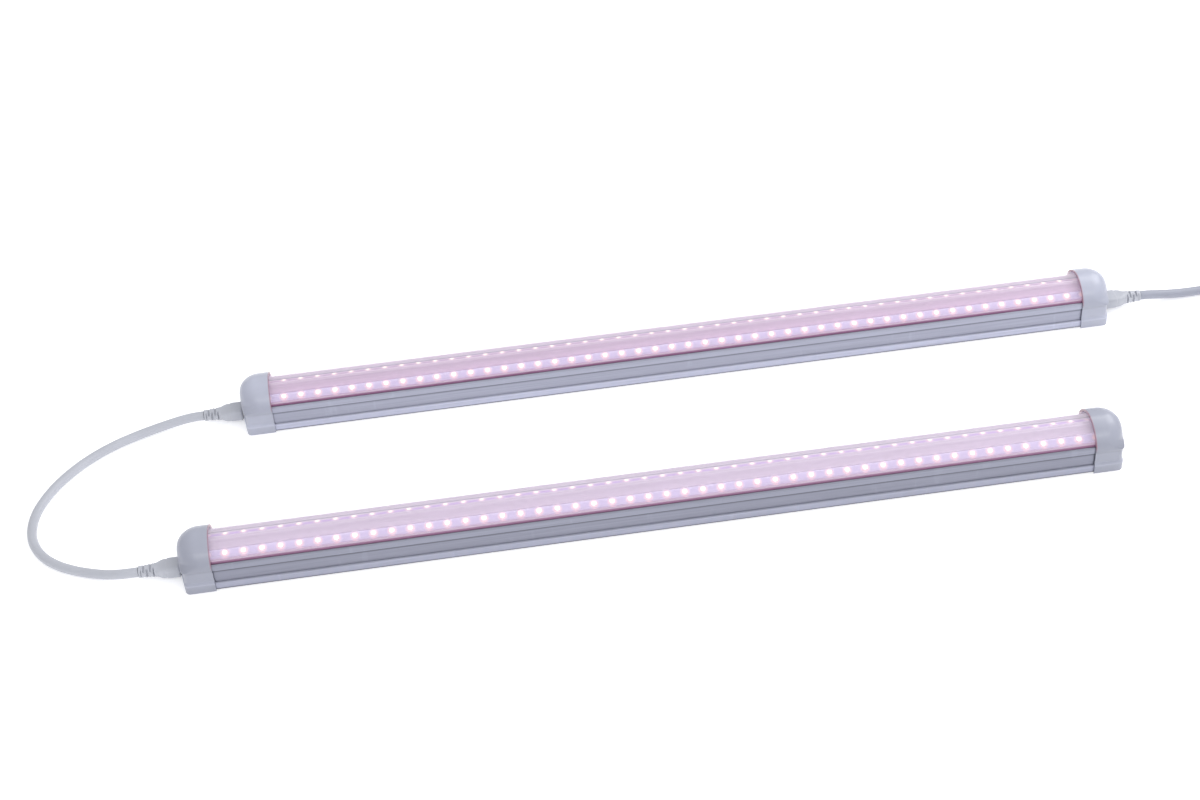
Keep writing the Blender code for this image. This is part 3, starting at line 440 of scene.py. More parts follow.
class Finish:
    """A material built node by node round one Principled shader."""

    def __init__(self, name, colour, roughness, metallic=0.0, **sockets):
        self.material = bpy.data.materials.new(name)
        self.material.use_nodes = True
        self.tree = self.material.node_tree
        self.shader = self.tree.nodes["Principled BSDF"]
        self.shader.inputs["Base Color"].default_value = (*colour, 1.0)
        self.shader.inputs["Roughness"].default_value = roughness
        self.shader.inputs["Metallic"].default_value = metallic
        for key, value in sockets.items():
            self.shader.inputs[key.replace("_", " ")].default_value = value
        self.places = self.tree.nodes.new("ShaderNodeTexCoord").outputs["Object"]

    @classmethod
    def again(cls, material):
        """Go on with a material that was made before."""
        f = cls.__new__(cls)
        f.material, f.tree = material, material.node_tree
        f.shader = f.tree.nodes["Principled BSDF"]
        f.places = f.tree.nodes["Texture Coordinate"].outputs["Object"]
        return f

    def put(self, socket, value):
        """Give a socket a number, a colour or another node's output."""
        if isinstance(value, bpy.types.NodeSocket):
            self.tree.links.new(value, socket)
        elif value is not None:
            socket.default_value = (*value, 1.0) if isinstance(value, tuple) and len(value) == 3 \
                and socket.type == "RGBA" else value

    def math(self, operation, a, b=None, c=None, clamp=False):
        node = self.tree.nodes.new("ShaderNodeMath")
        node.operation = operation
        node.use_clamp = clamp
        for socket, value in zip(node.inputs, (a, b, c)):
            self.put(socket, value)
        return node.outputs[0]

    def plus(self, a, b):
        return self.math("ADD", a, b)

    def less(self, a, b):
        return self.math("SUBTRACT", a, b)

    def times(self, a, b):
        return self.math("MULTIPLY", a, b)

    def apart(self, a, b):
        """How far two numbers are from each other."""
        return self.math("ABSOLUTE", self.less(a, b))

    def length(self, a, b):
        """The root of the sum of two squares."""
        return self.math("SQRT", self.plus(self.times(a, a), self.times(b, b)))

    def mapped(self, scale=(1, 1, 1)):
        node = self.tree.nodes.new("ShaderNodeMapping")
        self.put(node.inputs["Vector"], self.places)
        node.inputs["Scale"].default_value = scale
        return node.outputs[0]

    def noise(self, scale, detail=3.0, stretch=(1, 1, 1)):
        """Noise whose scale counts features in a metre, stretched along an axis."""
        node = self.tree.nodes.new("ShaderNodeTexNoise")
        self.put(node.inputs["Vector"], self.mapped(stretch))
        node.inputs["Scale"].default_value = scale
        node.inputs["Detail"].default_value = detail
        return node.outputs["Fac"]

    def axes(self):
        """The place's x, y and z."""
        node = self.tree.nodes.new("ShaderNodeSeparateXYZ")
        self.put(node.inputs[0], self.places)
        return node.outputs

    def span(self, value, low, high, out_low=0.0, out_high=1.0):
        """Map a number from one span to another, held at the ends."""
        node = self.tree.nodes.new("ShaderNodeMapRange")
        for socket, number in zip(node.inputs, (value, low, high, out_low, out_high)):
            self.put(socket, number)
        return node.outputs[0]

    def above(self, value, edge, soft):
        """1 above an edge and 0 below it, blended over a width; all in millimetres."""
        return self.span(value, (edge - soft / 2) * MM, (edge + soft / 2) * MM)

    def below(self, value, edge, soft):
        """1 below an edge and 0 above it, blended over a width; all in millimetres."""
        return self.span(value, (edge - soft / 2) * MM, (edge + soft / 2) * MM, 1.0, 0.0)

    def tones(self, value, stops):
        """A grey that follows (millimetre, tone) stops, with straight lines between them."""
        node = self.tree.nodes.new("ShaderNodeValToRGB")
        high = stops[-1][0]
        ramp = node.color_ramp.elements
        while len(ramp) < len(stops):
            ramp.new(0.5)
        for element, (place, tone) in zip(ramp, stops):
            element.position = place / high
            element.color = (tone, tone, tone, 1.0)
        self.put(node.inputs[0], self.math("DIVIDE", value, high * MM))
        return node.outputs[0]

    def mix(self, share, a, b):
        """The first colour where the share is 0, the second where it is 1."""
        node = self.tree.nodes.new("ShaderNodeMix")
        node.data_type = "RGBA"
        self.put(node.inputs[0], share)
        self.put(node.inputs[6], a)
        self.put(node.inputs[7], b)
        return node.outputs[2]

    def bump(self, height, distance, strength=1.0):
        node = self.tree.nodes.new("ShaderNodeBump")
        node.inputs["Strength"].default_value = strength
        node.inputs["Distance"].default_value = distance
        self.put(node.inputs["Height"], height)
        self.put(self.shader.inputs["Normal"], node.outputs[0])

    def base(self, value):
        self.put(self.shader.inputs["Base Color"], value)

    def rough(self, value, low, high):
        self.put(self.shader.inputs["Roughness"], self.span(value, 0.3, 0.7, low, high))

    def glow(self, colour, strength):
        self.put(self.shader.inputs["Emission Color"], colour)
        self.shader.inputs["Emission Strength"].default_value = strength


def shade(colour, factor):
    """A colour made lighter or darker."""
    return tuple(min(1.0, c * factor) for c in colour)


def moulded_finish(name, colour, roughness=0.34, grain=1.0, coat=0.25):
    """Moulded plastic: faint cloudiness, a fine skin, a few paler flow marks."""
    f = Finish(name, colour, roughness, Coat_Weight=coat, Coat_Roughness=0.18, IOR=1.48)
    cloud = f.noise(55, 4)
    fine = f.noise(2600, 2)
    flow = f.noise(160, 3, (0.35, 1, 1))
    tone = f.mix(f.span(cloud, 0.35, 0.68), shade(colour, 0.955), shade(colour, 1.03))
    tone = f.mix(f.span(flow, 0.6, 0.75, 0, 0.35), tone, shade(colour, 1.07))
    f.base(tone)
    f.rough(cloud, roughness - 0.05, roughness + 0.08)
    f.bump(f.plus(fine, f.times(f.noise(420, 2), 1.6)), 0.00004 * grain, 0.5)
    return f.material


def vinyl_finish(name, colour, roughness=0.46):
    """Soft vinyl of cords and their mouldings: a waxy skin with faint dust and print-through."""
    f = Finish(name, colour, roughness, Sheen_Weight=0.12, Sheen_Roughness=0.5, IOR=1.5)
    cloud, dust, skin = f.noise(38, 4), f.noise(900, 3), f.noise(1800, 3)
    tone = f.mix(f.span(cloud, 0.3, 0.7), shade(colour, 0.94), shade(colour, 1.03))
    f.base(f.mix(f.span(dust, 0.62, 0.74, 0, 0.22), tone, shade(colour, 0.72)))
    f.rough(cloud, roughness - 0.06, roughness + 0.08)
    f.bump(skin, 0.00005, 0.6)
    return f.material


def metal_finish(name, colour, roughness, along=(0.05, 1, 1), scale=2500, wear=0.75):
    """Plated or drawn metal: fine lines along one way, cloudy tarnish, bright rubbed spots."""
    f = Finish(name, colour, roughness, 1.0)
    lines, cloud = f.noise(scale, 3, along), f.noise(140, 4)
    tone = f.mix(f.span(lines, 0.35, 0.65), shade(colour, 0.86), shade(colour, 1.06))
    f.base(f.mix(f.span(cloud, 0.52, 0.72, 0, 0.5), tone, shade(colour, wear)))
    f.rough(cloud, roughness - 0.06, roughness + 0.14)
    f.bump(lines, 0.00003, 0.5)
    return f.material


def lamp_light(f, place):
    """Where a point lies by the chips: its distance to the nearest one, a halo and a band.

    Along the bar the distance repeats with the chip pitch; across, it is measured from the
    two rows, which lie at the same height on either side of the ridge.  All in millimetres.
    """
    x, y, _ = f.axes()
    turn = f.math("FRACT", f.math("DIVIDE", f.less(x, place[0] * MM), CHIP_PITCH * MM))
    along = f.math("ABSOLUTE", f.times(f.less(turn, 0.5), CHIP_PITCH))
    off = f.math("DIVIDE", f.apart(y, place[1] * MM), MM)
    row = BOARD_FROM_RIDGE * math.cos(SLOPE)
    across = f.math("ABSOLUTE", f.math("DIVIDE", f.less(off, row), math.cos(SLOPE)))
    reach = f.length(along, across)
    halo = f.math("POWER", f.span(reach, *HALO_REACH, 1.0, 0.0), 1.5)
    return reach, halo, f.span(across, *BAND_REACH, 1.0, 0.0)


BLACK = (0.0, 0.0, 0.0)
WHITE = (1.0, 1.0, 1.0)

# The light on the rear bar's roof is a little warmer than on the front bar's, and dims more
# towards the ridge.  In both bars the strip behind the ridge is dimmer than the one before it
GLOW_TINTS = {"rear": (0.95, 0.84, 0.89), "front": (0.93, 0.93, 0.92)}
RIDGE_DIM = {"rear": 0.75, "front": 0.25}
BEHIND_TINTS = {"rear": (0.36, 0.23, 0.38), "front": (0.40, 0.27, 0.56)}
BEHIND_HALO = (0.80, 0.56, 0.62)

# The front bar's metal and caps carry painted shade, a shade darker than the rear bar's
BAR_PAINTED_SHADE = {"rear": 1.0, "front": 0.80}

# Painted shading of a cap against height in millimetres: a painted highlight on the band's
# shoulder, painted shade in the crease under the dome, lighter towards the dome's top
CAP_PAINTED_SHADING = ((0.0, 0.76), (5.4, 0.80), (6.6, 1.0), (7.6, 0.94), (9.0, 0.82), (15.0, 0.80),
             (16.6, 0.66), (18.0, 0.74), (22.0, 0.80), (33.0, 0.92))

# Painted shading of the extrusion's side against height in millimetres: painted shade along
# the floor and in the groove's corners, a painted highlight on the flange and its edge, and
# the cover's painted shadow on the lip
SIDE_PAINTED_SHADING = ((0.0, 0.36), (1.0, 0.40), (1.4, 0.88), (5.0, 0.90), (5.4, 0.94), (5.7, 0.60),
              (6.5, 0.57), (7.2, 0.62), (13.4, 0.62), (14.3, 0.36), (15.2, 0.34), (15.6, 0.68),
              (19.0, 0.62), (19.8, 0.58), (20.2, 0.48))


def aluminium_finish(bar):
    """Satin extrusion: lines along X, handling marks, painted shading by height, the lamps' light on
    its roof.
    """
    place, colours = bar_place(bar), settings("colours")
    # The front bar's copy of the metal is darkened as painted shade
    colour = shade(tuple(colours.aluminium), BAR_PAINTED_SHADE[bar])
    f = Finish("satin_aluminium_" + bar, colour, 0.36, 0.85)
    drawn = f.noise(1500, 3, (0.012, 1, 1))
    fine = f.noise(5200, 2, (0.006, 1, 1))
    cloud = f.noise(26, 4, (0.4, 1, 1))
    marks = f.noise(420, 3, (0.5, 1, 0.1))
    metal = f.mix(f.span(drawn, 0.3, 0.7), shade(colour, 0.88), shade(colour, 1.08))
    metal = f.mix(f.span(cloud, 0.4, 0.7, 0, 0.3), metal, shade(colour, 0.88))
    metal = f.mix(f.span(marks, 0.63, 0.72, 0, 0.25), metal, shade(colour, 1.2))
    _, y, z = f.axes()
    # Painted shade and highlights by height on the side, from the stops above
    metal = f.mix(f.tones(z, SIDE_PAINTED_SHADING), BLACK, metal)
    off = f.apart(y, place[1] * MM)
    roof = f.times(f.below(off, ROOF_HALF, 0.2), f.above(z, ROOF_LOW, 0.2))
    _, halo, band = lamp_light(f, place)
    glow = tuple(a * b for a, b in zip(colours.glow, GLOW_TINTS[bar]))
    lit = f.mix(band, shade(glow, 0.92), glow)
    # Painted shade on the roof's painted light near the ridge
    ridge_shade = f.span(off, 1.2 * MM, 5.0 * MM, RIDGE_DIM[bar], 0.0)
    lit = f.mix(ridge_shade, lit, shade(glow, 0.62))
    # A painted highlight line along the ridge
    ridge_highlight = f.span(off, 0.3 * MM, 0.8 * MM, 0.35, 0.0)
    lit = f.mix(ridge_highlight, lit, (0.62, 0.56, 0.64))
    lit = f.mix(f.span(drawn, 0.35, 0.7, 0, 0.4), lit, shade(glow, 1.08))
    lit = f.mix(halo, lit, tuple(colours.halo))
    f.base(f.mix(roof, metal, lit))
    f.put(f.shader.inputs["Metallic"], f.span(roof, 0, 1, 0.85, 0.2))
    f.glow(f.mix(roof, BLACK, lit), 0.34)
    f.rough(drawn, 0.30, 0.46)
    f.bump(f.plus(drawn, f.times(fine, 0.6)), 0.00003, 0.55)
    return f.material


def strip_finish(bar):
    """White lamp strip: faint tracks and pads under the mask, lit round each chip."""
    place, colours = bar_place(bar), settings("colours")
    white, glow = (0.60, 0.54, 0.68), tuple(colours.strip)
    f = Finish("lamp_strip_" + bar, white, 0.42, Coat_Weight=0.3, Coat_Roughness=0.2)
    reach, halo, band = lamp_light(f, place)
    cloud = f.noise(300, 3)
    mask = f.mix(f.span(cloud, 0.35, 0.65), shade(white, 0.93), shade(white, 1.04))
    pad = f.times(f.span(reach, 2.1, 2.3), f.span(reach, 2.9, 3.1, 1.0, 0.0))
    mask = f.mix(f.times(pad, 0.35), mask, (0.72, 0.5, 0.3))
    behind = f.above(f.less(f.axes()[1], place[1] * MM), 0.5, 1.0)
    glow = f.mix(behind, glow, BEHIND_TINTS[bar])
    lit = f.mix(halo, glow, f.mix(behind, tuple(colours.halo), BEHIND_HALO))
    f.base(f.mix(band, mask, lit))
    f.glow(lit, 0.38)
    f.rough(cloud, 0.36, 0.5)
    f.bump(f.plus(pad, f.noise(2400, 2)), 0.00004, 0.5)
    return f.material


def chip_finish(bar, row, strength):
    """Lamp chip: white frame round a phosphor pool whose light is strongest in its middle."""
    place, colours = bar_place(bar), settings("colours")
    f = Finish(f"lamp_chip_{bar}_{row}", (0.85, 0.78, 0.62), 0.35, Coat_Weight=0.4)
    reach, _, _ = lamp_light(f, place)
    speck = f.noise(6000, 2)
    pool = f.span(reach, 0.9, 1.75, 1.0, 0.0)
    f.base(f.mix(pool, (0.80, 0.66, 0.72), f.mix(speck, (0.9, 0.7, 0.3), (0.95, 0.85, 0.5))))
    f.glow(f.mix(pool, (0.20, 0.115, 0.13), tuple(colours.lamp)), strength)
    f.bump(speck, 0.00003, 0.4)
    return f.material


def cover_finish(bar):
    """Clear acrylic: nearly invisible from straight on, whiter where seen along its surface.

    Before the ridge the outer wall carries painted lamp light, and at the foot painted shade
    tinted by the lamps' light.  Behind the ridge the cover is pale and catches the lamps' light.
    The walls are told apart by their distance from the dome's axis.
    """
    place, colours = bar_place(bar), settings("colours")
    cover = tuple(colours.cover)
    f = Finish("clear_acrylic_" + bar, cover, 0.09, Coat_Weight=0.3, Coat_Roughness=0.08,
               IOR=1.55)
    _, y, z = f.axes()
    off = f.less(y, place[1] * MM)
    before = f.below(off, 0.0, 2.0)
    outer = f.above(f.length(off, f.less(z, DOME_CENTRE * MM)), DOME_RADIUS - LENS_WALL / 2, 0.4)
    outer = f.times(outer, before)
    # Painted shade, tinted by the lamps' light, low on the cover's outer wall
    foot = f.below(z, COVER_FOOT_SHADE_TOP, 0.7)
    # Painted lamp light on the cover's outer wall, up from the foot
    rim = f.below(z, COVER_RIM_LIGHT_TOP, 2.6)
    streak = f.noise(700, 3, (0.01, 1, 1))
    dust = f.noise(240, 4)
    tint = f.mix(f.span(streak, 0.4, 0.66, 0, 0.5), cover, shade(cover, 1.1))
    # Behind the ridge the cover is painted pale with the lamps' light
    tint = f.mix(before, (0.96, 0.90, 0.97), tint)
    # The pink painted lamp light goes on the outer wall before the ridge
    tint = f.mix(f.times(rim, outer), tint, (0.78, 0.50, 0.69))
    # The foot's painted shade goes on the outer wall before the ridge
    f.base(f.mix(f.times(foot, outer), tint, tuple(colours.cover_foot_shade)))
    # Behind the ridge the cover glows with painted lamp light
    f.glow(f.mix(before, (0.62, 0.54, 0.62), BLACK), 0.35)
    f.rough(dust, 0.06, 0.13)
    f.bump(streak, 0.00001, 0.4)

    facing = f.tree.nodes.new("ShaderNodeLayerWeight")
    facing.inputs["Blend"].default_value = 0.28
    share = f.plus(f.span(facing.outputs["Facing"], 0.0, 0.9, 0.14, 0.40),
                   f.span(dust, 0.5, 0.75, 0.0, 0.05))
    share = f.plus(share, f.times(rim, 0.15))
    share = f.math("ADD", share, f.times(f.times(foot, before), 0.5), clamp=True)
    share = f.times(share, f.span(before, 0.0, 1.0, 0.7, 1.0))
    clear = f.tree.nodes.new("ShaderNodeBsdfTransparent")
    blend = f.tree.nodes.new("ShaderNodeMixShader")
    f.put(blend.inputs[0], share)
    f.put(blend.inputs[1], clear.outputs[0])
    f.put(blend.inputs[2], f.shader.outputs[0])
    f.put(f.tree.nodes["Material Output"].inputs["Surface"], blend.outputs[0])
    return f.material


def cap_finish(bar):
    """Cap plastic with painted shading by height, and painted shade tinted by the lamps' light along
    each cap's inner edge by the cover.
    """
    place, colours = bar_place(bar), settings("colours")
    # The front bar's copy of the cap plastic is darkened as painted shade
    material = moulded_finish("cap_plastic_" + bar, shade(tuple(colours.cap), BAR_PAINTED_SHADE[bar]))
    f = Finish.again(material)
    x, _, z = f.axes()
    off = f.apart(x, place[0] * MM)
    # Painted shade, tinted by the lamps' light, along the cap's inner edge next to the cover
    edge = f.times(f.below(off, CAP_INNER + 0.4, 0.8), f.above(z, 19.0, 4.0))
    plain = f.shader.inputs["Base Color"].links[0].from_socket
    # Painted shade and highlights by height over the moulded colour
    tone = f.mix(f.tones(z, CAP_PAINTED_SHADING), BLACK, plain)
    f.base(f.mix(f.times(edge, 0.9), tone, (0.33, 0.15, 0.20)))
    return material


def rocker_finish():
    """Black rocker: fine spark texture and generic on and off marks moulded in white."""
    black = (0.022, 0.022, 0.025)
    f = Finish("rocker_black", black, 0.36, Coat_Weight=0.2)
    grain, cloud = f.noise(3200, 3), f.noise(90, 3)
    tone = f.mix(f.span(cloud, 0.35, 0.7), shade(black, 0.8), shade(black, 1.8))
    x, y, z = f.axes()
    side = f.apart(x, SWITCH_X * MM)
    on_mark = f.apart(y, (SWITCH_Y + MARK_OFFSET) * MM)
    bar = f.times(f.math("LESS_THAN", side, 0.3 * MM), f.math("LESS_THAN", on_mark, 1.4 * MM))
    off_mark = f.less(y, (SWITCH_Y - MARK_OFFSET) * MM)
    ring = f.math("COMPARE", f.length(side, off_mark), 1.3 * MM, 0.3 * MM)
    marks = f.times(f.math("MAXIMUM", bar, ring), f.above(z, 19.9, 0.2))
    f.base(f.mix(marks, tone, (0.75, 0.75, 0.75)))
    f.rough(cloud, 0.3, 0.45)
    f.bump(f.plus(grain, f.times(marks, 0.8)), 0.00006, 0.6)
    return f.material


def board_finish():
    """Green driver board: tracks seen through the mask, with tinned pads."""
    green = (0.02, 0.16, 0.07)
    f = Finish("driver_board_green", green, 0.38, Coat_Weight=0.4)
    brick = f.tree.nodes.new("ShaderNodeTexBrick")
    f.put(brick.inputs["Vector"], f.mapped((170, 420, 1)))
    brick.inputs["Mortar Size"].default_value = 0.03
    pads = f.span(f.noise(700, 1), 0.66, 0.68)
    tone = f.mix(brick.outputs["Fac"], green, (0.04, 0.24, 0.11))
    f.base(f.mix(pads, tone, (0.6, 0.6, 0.58)))
    f.bump(brick.outputs["Fac"], 0.00008, 0.5)
    return f.material


# ---------------------------------------------------------------- shapes of one bar

def on_slope(down, out):
    """A (y, z) place on the lamp face at +Y: down from the ridge, and out from the face."""
    return (down * math.cos(SLOPE) + out * math.sin(SLOPE),
            RIDGE_HEIGHT - down * math.sin(SLOPE) + out * math.cos(SLOPE))


def filleted(points, radius):
    """A closed outline with each corner C replaced by the curve (1-t)^2 A + 2t(1-t) C + t^2 B.

    A and B lie on the two edges, the radius or two fifths of the edge away from the corner.
    """
    corner = np.array(points, float)
    before, after = np.roll(corner, 1, axis=0) - corner, np.roll(corner, -1, axis=0) - corner
    long_a = np.linalg.norm(before, axis=1, keepdims=True)
    long_b = np.linalg.norm(after, axis=1, keepdims=True)
    cut = np.minimum(radius, 0.4 * np.minimum(long_a, long_b))
    a, b = corner + before / long_a * cut, corner + after / long_b * cut
    t = np.linspace(0, 1, 4)[None, :, None]
    curve = (1 - t) ** 2 * a[:, None] + 2 * t * (1 - t) * corner[:, None] + t ** 2 * b[:, None]
    return curve.reshape(-1, 2)


def housing_outline():
    """The extrusion's outside: flange, side groove, lip, lens seat and two sloping lamp faces."""
    cut = CORNER_CUT
    seat, foot_in = LENS_FOOT - CLEARANCE, DOME_RADIUS - LENS_WALL - 1.25
    near, far = (BOARD_FROM_RIDGE + k * (BOARD_WIDTH / 2 + 0.4) for k in (-1, 1))
    depth = -(BOARD_THICK + CLEARANCE)
    half = [(FLANGE_HALF - cut, 0.0), (FLANGE_HALF, cut), (FLANGE_HALF, FLANGE_HEIGHT - cut),
            (FLANGE_HALF - cut, FLANGE_HEIGHT), (GROOVE_HALF, FLANGE_HEIGHT),
            (GROOVE_HALF, GROOVE_TOP), (LIP_HALF, GROOVE_TOP), (LIP_HALF, LIP_TOP - cut),
            (LIP_HALF - cut, LIP_TOP), (DOME_RADIUS - cut, LIP_TOP), (DOME_RADIUS - cut, seat),
            (foot_in, seat), (foot_in, RIDGE_HEIGHT - foot_in * math.tan(SLOPE)),
            on_slope(far, 0), on_slope(far, depth), on_slope(near, depth), on_slope(near, 0),
            on_slope(1.0, 0)]
    return half + [(-y, z) for y, z in reversed(half)]


def housing_shape(dx, dy):
    """The extrusion with its hollow: outer ring and inner ring at each end, joined round.

    Each inner point is its outer point drawn in to the driver space's walls and roof.
    """
    outer = filleted(housing_outline(), settings("sizes").fillet / MM)
    y = np.clip(outer[:, 0], -CAVITY_HALF, CAVITY_HALF)
    roof = RIDGE_HEIGHT - ROOF_WALL / math.cos(SLOPE) - np.abs(y) * math.tan(SLOPE)
    inner = np.column_stack([y, np.clip(outer[:, 1], CAVITY_FLOOR, roof)])
    ends = (dx - HOUSING_HALF_LENGTH, dx + HOUSING_HALF_LENGTH)
    rings = np.concatenate([extruded(outer, ends, dy), extruded(inner, ends[::-1], dy)])
    return patch(rings, wrap_rows=True, wrap_columns=True)


def lens_shape(dx, dy):
    """A clear dome of even wall: an arc of the outer radius, back along the inner one, on feet."""
    start = math.asin((LIP_TOP - DOME_CENTRE) / DOME_RADIUS)
    a = np.linspace(start, math.pi - start, 61)
    foot = DOME_RADIUS * math.cos(start)

    def arc(radius, half):
        y = np.concatenate([[half], radius * np.cos(a), [-half]])
        z = np.concatenate([[LENS_FOOT], DOME_CENTRE + radius * np.sin(a), [LENS_FOOT]])
        return np.column_stack([y, z])

    outside, inside = arc(DOME_RADIUS, foot), arc(DOME_RADIUS - LENS_WALL, foot - LENS_WALL)
    loop = np.vstack([outside, inside[::-1]])
    return loft(extruded(loop, dx + np.linspace(-LENS_HALF_LENGTH, LENS_HALF_LENGTH, 9), dy))


def strip_shape(side, dx, dy):
    """A lamp strip lying in its recess, with small chamfers, carried straight along X."""
    half, chamfer = BOARD_WIDTH / 2, 0.12
    flat = np.array([(half, -BOARD_THICK), (half, -chamfer), (half - chamfer, 0.0),
                     (chamfer - half, 0.0), (-half, -chamfer), (-half, -BOARD_THICK)])
    y, z = on_slope(BOARD_FROM_RIDGE + flat[:, 0], flat[:, 1])
    loop = np.column_stack([side * y, z])
    return loft(extruded(loop, (dx - BOARD_HALF_LENGTH, dx + BOARD_HALF_LENGTH), dy))


def chips_shape(side, dx, dy):
    """All chips of a row: one ringed block, its pool sunk in the top, repeated at the pitch."""
    half_a = column([1.75, 1.75, 1.66, 1.28, 1.2, 0.55])
    half_b = column([1.40, 1.40, 1.31, 1.02, 0.95, 0.45])
    rise = column([0.0, 0.55, 0.68, 0.68, 0.56, 0.60])
    power = column([8, 8, 7, 5, 5, 3])
    a, b = section(half_a, half_b, power, 12)
    y, z = on_slope(BOARD_FROM_RIDGE + b, rise + CHIP_GAP + 0 * a)
    points, faces = loft(np.stack([a, dy + side * y, z], axis=-1))
    middle = dx + (np.arange(CHIP_COUNT) - (CHIP_COUNT - 1) / 2) * CHIP_PITCH
    many = points[None] + np.stack([middle, 0 * middle, 0 * middle], axis=-1)[:, None]
    starts = np.arange(CHIP_COUNT)[:, None, None] * len(points)
    return many.reshape(-1, 3), (faces[None] + starts).reshape(-1, 4)


def cap_half_outline():
    """Half of the cap's outline from base to peak: band, soft step, recess, dome.

    The dome is a superellipse, cos and sin of its angle being raised to 2 over its power.
    """
    t = np.linspace(0, 1, 7)
    low, high = CAP_RECESS_Z
    band = np.column_stack([np.full(4, CAP_BAND), [0.35, 1.5, 3.5, 5.2]])
    step = np.column_stack([CAP_BAND - (CAP_BAND - CAP_RECESS) * smooth_step(t), low - 2 + 2 * t])
    recess = np.column_stack([np.full(3, CAP_RECESS), np.linspace(low + 1.5, high - 1.5, 3)])
    lift = np.column_stack([CAP_RECESS + (CAP_SIDE - CAP_RECESS) * smooth_step(t),
                            high + (CAP_SPRING - high) * t])
    a = np.linspace(0, math.pi / 2, 29)[1:-1]
    dome = np.column_stack([CAP_SIDE * np.cos(a) ** (2 / CAP_POWER),
                            CAP_SPRING + CAP_RISE * np.sin(a) ** (2 / CAP_POWER)])
    return np.vstack([[(CAP_BAND - 0.35, 0.0)], band, step, recess, lift, dome,
                      [(0.0, CAP_SPRING + CAP_RISE)]])


def cap_shape(side, dx, dy):
    """The cap's outside.  The outline is carried in X and drawn in round the end face's edge.

    At edge angle a the outline moves in by r(1 - cos a) and stands back by r(1 - sin a), and
    the whole end face stands back by the bow times y squared, and by a little more along
    the recess.  r grows from the recess to the dome.
    """
    half = cap_half_outline()
    full = np.vstack([half, (half * (-1, 1))[-2::-1]])
    bow = CAP_BOW / CAP_BAND ** 2
    low, high = CAP_EDGE
    a = column(np.radians(np.linspace(0, 90, 15)))
    y, z = full[:, 0], full[:, 1]
    r = low + (high - low) * smooth_step((z - CAP_RECESS_Z[1] - 0.8) / 6.0)
    move = r * (1 - np.cos(a))
    ring_y = y * (1 - move / CAP_SIDE)
    ring_z = z - np.maximum(z - CAP_SPRING, 0) * CAP_EDGE_FALL * move / CAP_RISE
    set_back = smooth_step((z - CAP_RECESS_Z[0] + 1.8) / 1.8)
    set_back = CAP_RECESS_DEPTH * set_back * smooth_step((CAP_SPRING - z) / 1.6)
    ring_x = HALF - bow * ring_y ** 2 - r * (1 - np.sin(a)) - set_back
    start = np.stack([np.full(len(y), CAP_INNER), y, z], axis=-1)[None]
    rings = np.concatenate([start, np.stack([ring_x, ring_y, ring_z], axis=-1)])

    share = np.linspace(0, 1, 17)
    count = len(half)

    def across(ring, bowed):
        """Rows from each right point of a ring to its left partner, following the bow."""
        right, left = ring[:count], ring[::-1][:count]
        rows = right[:, None] + (left - right)[:, None] * share[None, :, None]
        if bowed:
            rows[..., 0] = right[:, None, 0] + bow * (right[:, None, 1] ** 2 - rows[..., 1] ** 2)
        return rows

    right, left = rings[:, 0], rings[:, -1]
    base = right[:, None] + (left - right)[:, None] * share[None, :, None]
    base[1:, :, 0] += bow * (right[1:, None, 1] ** 2 - base[1:, :, 1] ** 2)
    points, faces = joined(patch(rings), patch(across(rings[-1], True)),
                           patch(across(rings[0], False)), patch(base))
    return points * (side, 1, 1) + (dx, dy, 0), faces


def pocket_shape(side, dx, dy):
    """What is taken out of a cap for the bar's end: the bar's outline with clearance."""
    gap = CLEARANCE
    radius, top = DOME_RADIUS + gap, LIP_TOP + gap
    a = np.linspace(math.asin((top - DOME_CENTRE) / radius), math.pi / 2, 20)
    half = np.vstack([[(FLANGE_HALF + gap, -1.0), (FLANGE_HALF + gap, FLANGE_HEIGHT),
                       (LIP_HALF + gap, FLANGE_HEIGHT + gap), (LIP_HALF + gap, top)],
                      np.column_stack([radius * np.cos(a), DOME_CENTRE + radius * np.sin(a)])])
    loop = np.vstack([half[:-1], (half[:-1] * (-1, 1))[::-1]])
    ends = (dx + side * (CAP_INNER - 1), dx + side * (CAP_INNER + CAP_POCKET))
    return loft(extruded(loop, ends, dy))


def mouth_shape(side, dx, dy):
    """The socket's opening through the cap's end wall, flared by a bevel at its mouth."""
    bevel = settings("sizes").mouth_bevel / MM
    out = column([CAP_INNER + CAP_POCKET - 1, HALF - 2 * bevel, HALF + 0.6])
    half_a = SOCKET_HALF[0] + column([0, 0, bevel + 0.3])
    half_b = SOCKET_HALF[1] + column([0, 0, bevel + 0.3])
    return along_x(dx + side * out, dy, SOCKET_HEIGHT, *section(half_a, half_b, column([6] * 3)))


def header_shape(side, dx, dy):
    """The block behind the socket: a rounded block with a raised rim round its face."""
    face = CAP_INNER + CAP_POCKET - 0.3
    out = column([face - 7.2, face - 6.9, face - 0.4, face, face, face - 0.5, face - 0.5])
    half_a = column([7.2, 7.5, 7.5, 7.2, 6.2, 6.0, 1.0])
    half_b = column([4.5, 4.8, 4.8, 4.5, 4.3, 4.1, 0.8])
    a, b = section(half_a, half_b, column([8] * 7), 40)
    return along_x(dx + side * out, dy, SOCKET_HEIGHT, a, b)


def pins_shape(side, dx, dy):
    """Three round pins with tapered, rounded tips."""
    out = column([PIN_ROOT, PIN_TIP - 1.1, PIN_TIP - 0.5, PIN_TIP - 0.15, PIN_TIP])
    radius = column([0.8, 0.8, 0.66, 0.4, 0.12])
    a, b = radius * np.cos(circle(16)), radius * np.sin(circle(16))
    return joined(*[along_x(dx + side * out, dy + offset, SOCKET_HEIGHT, a, b)
                    for offset in PIN_OFFSETS])


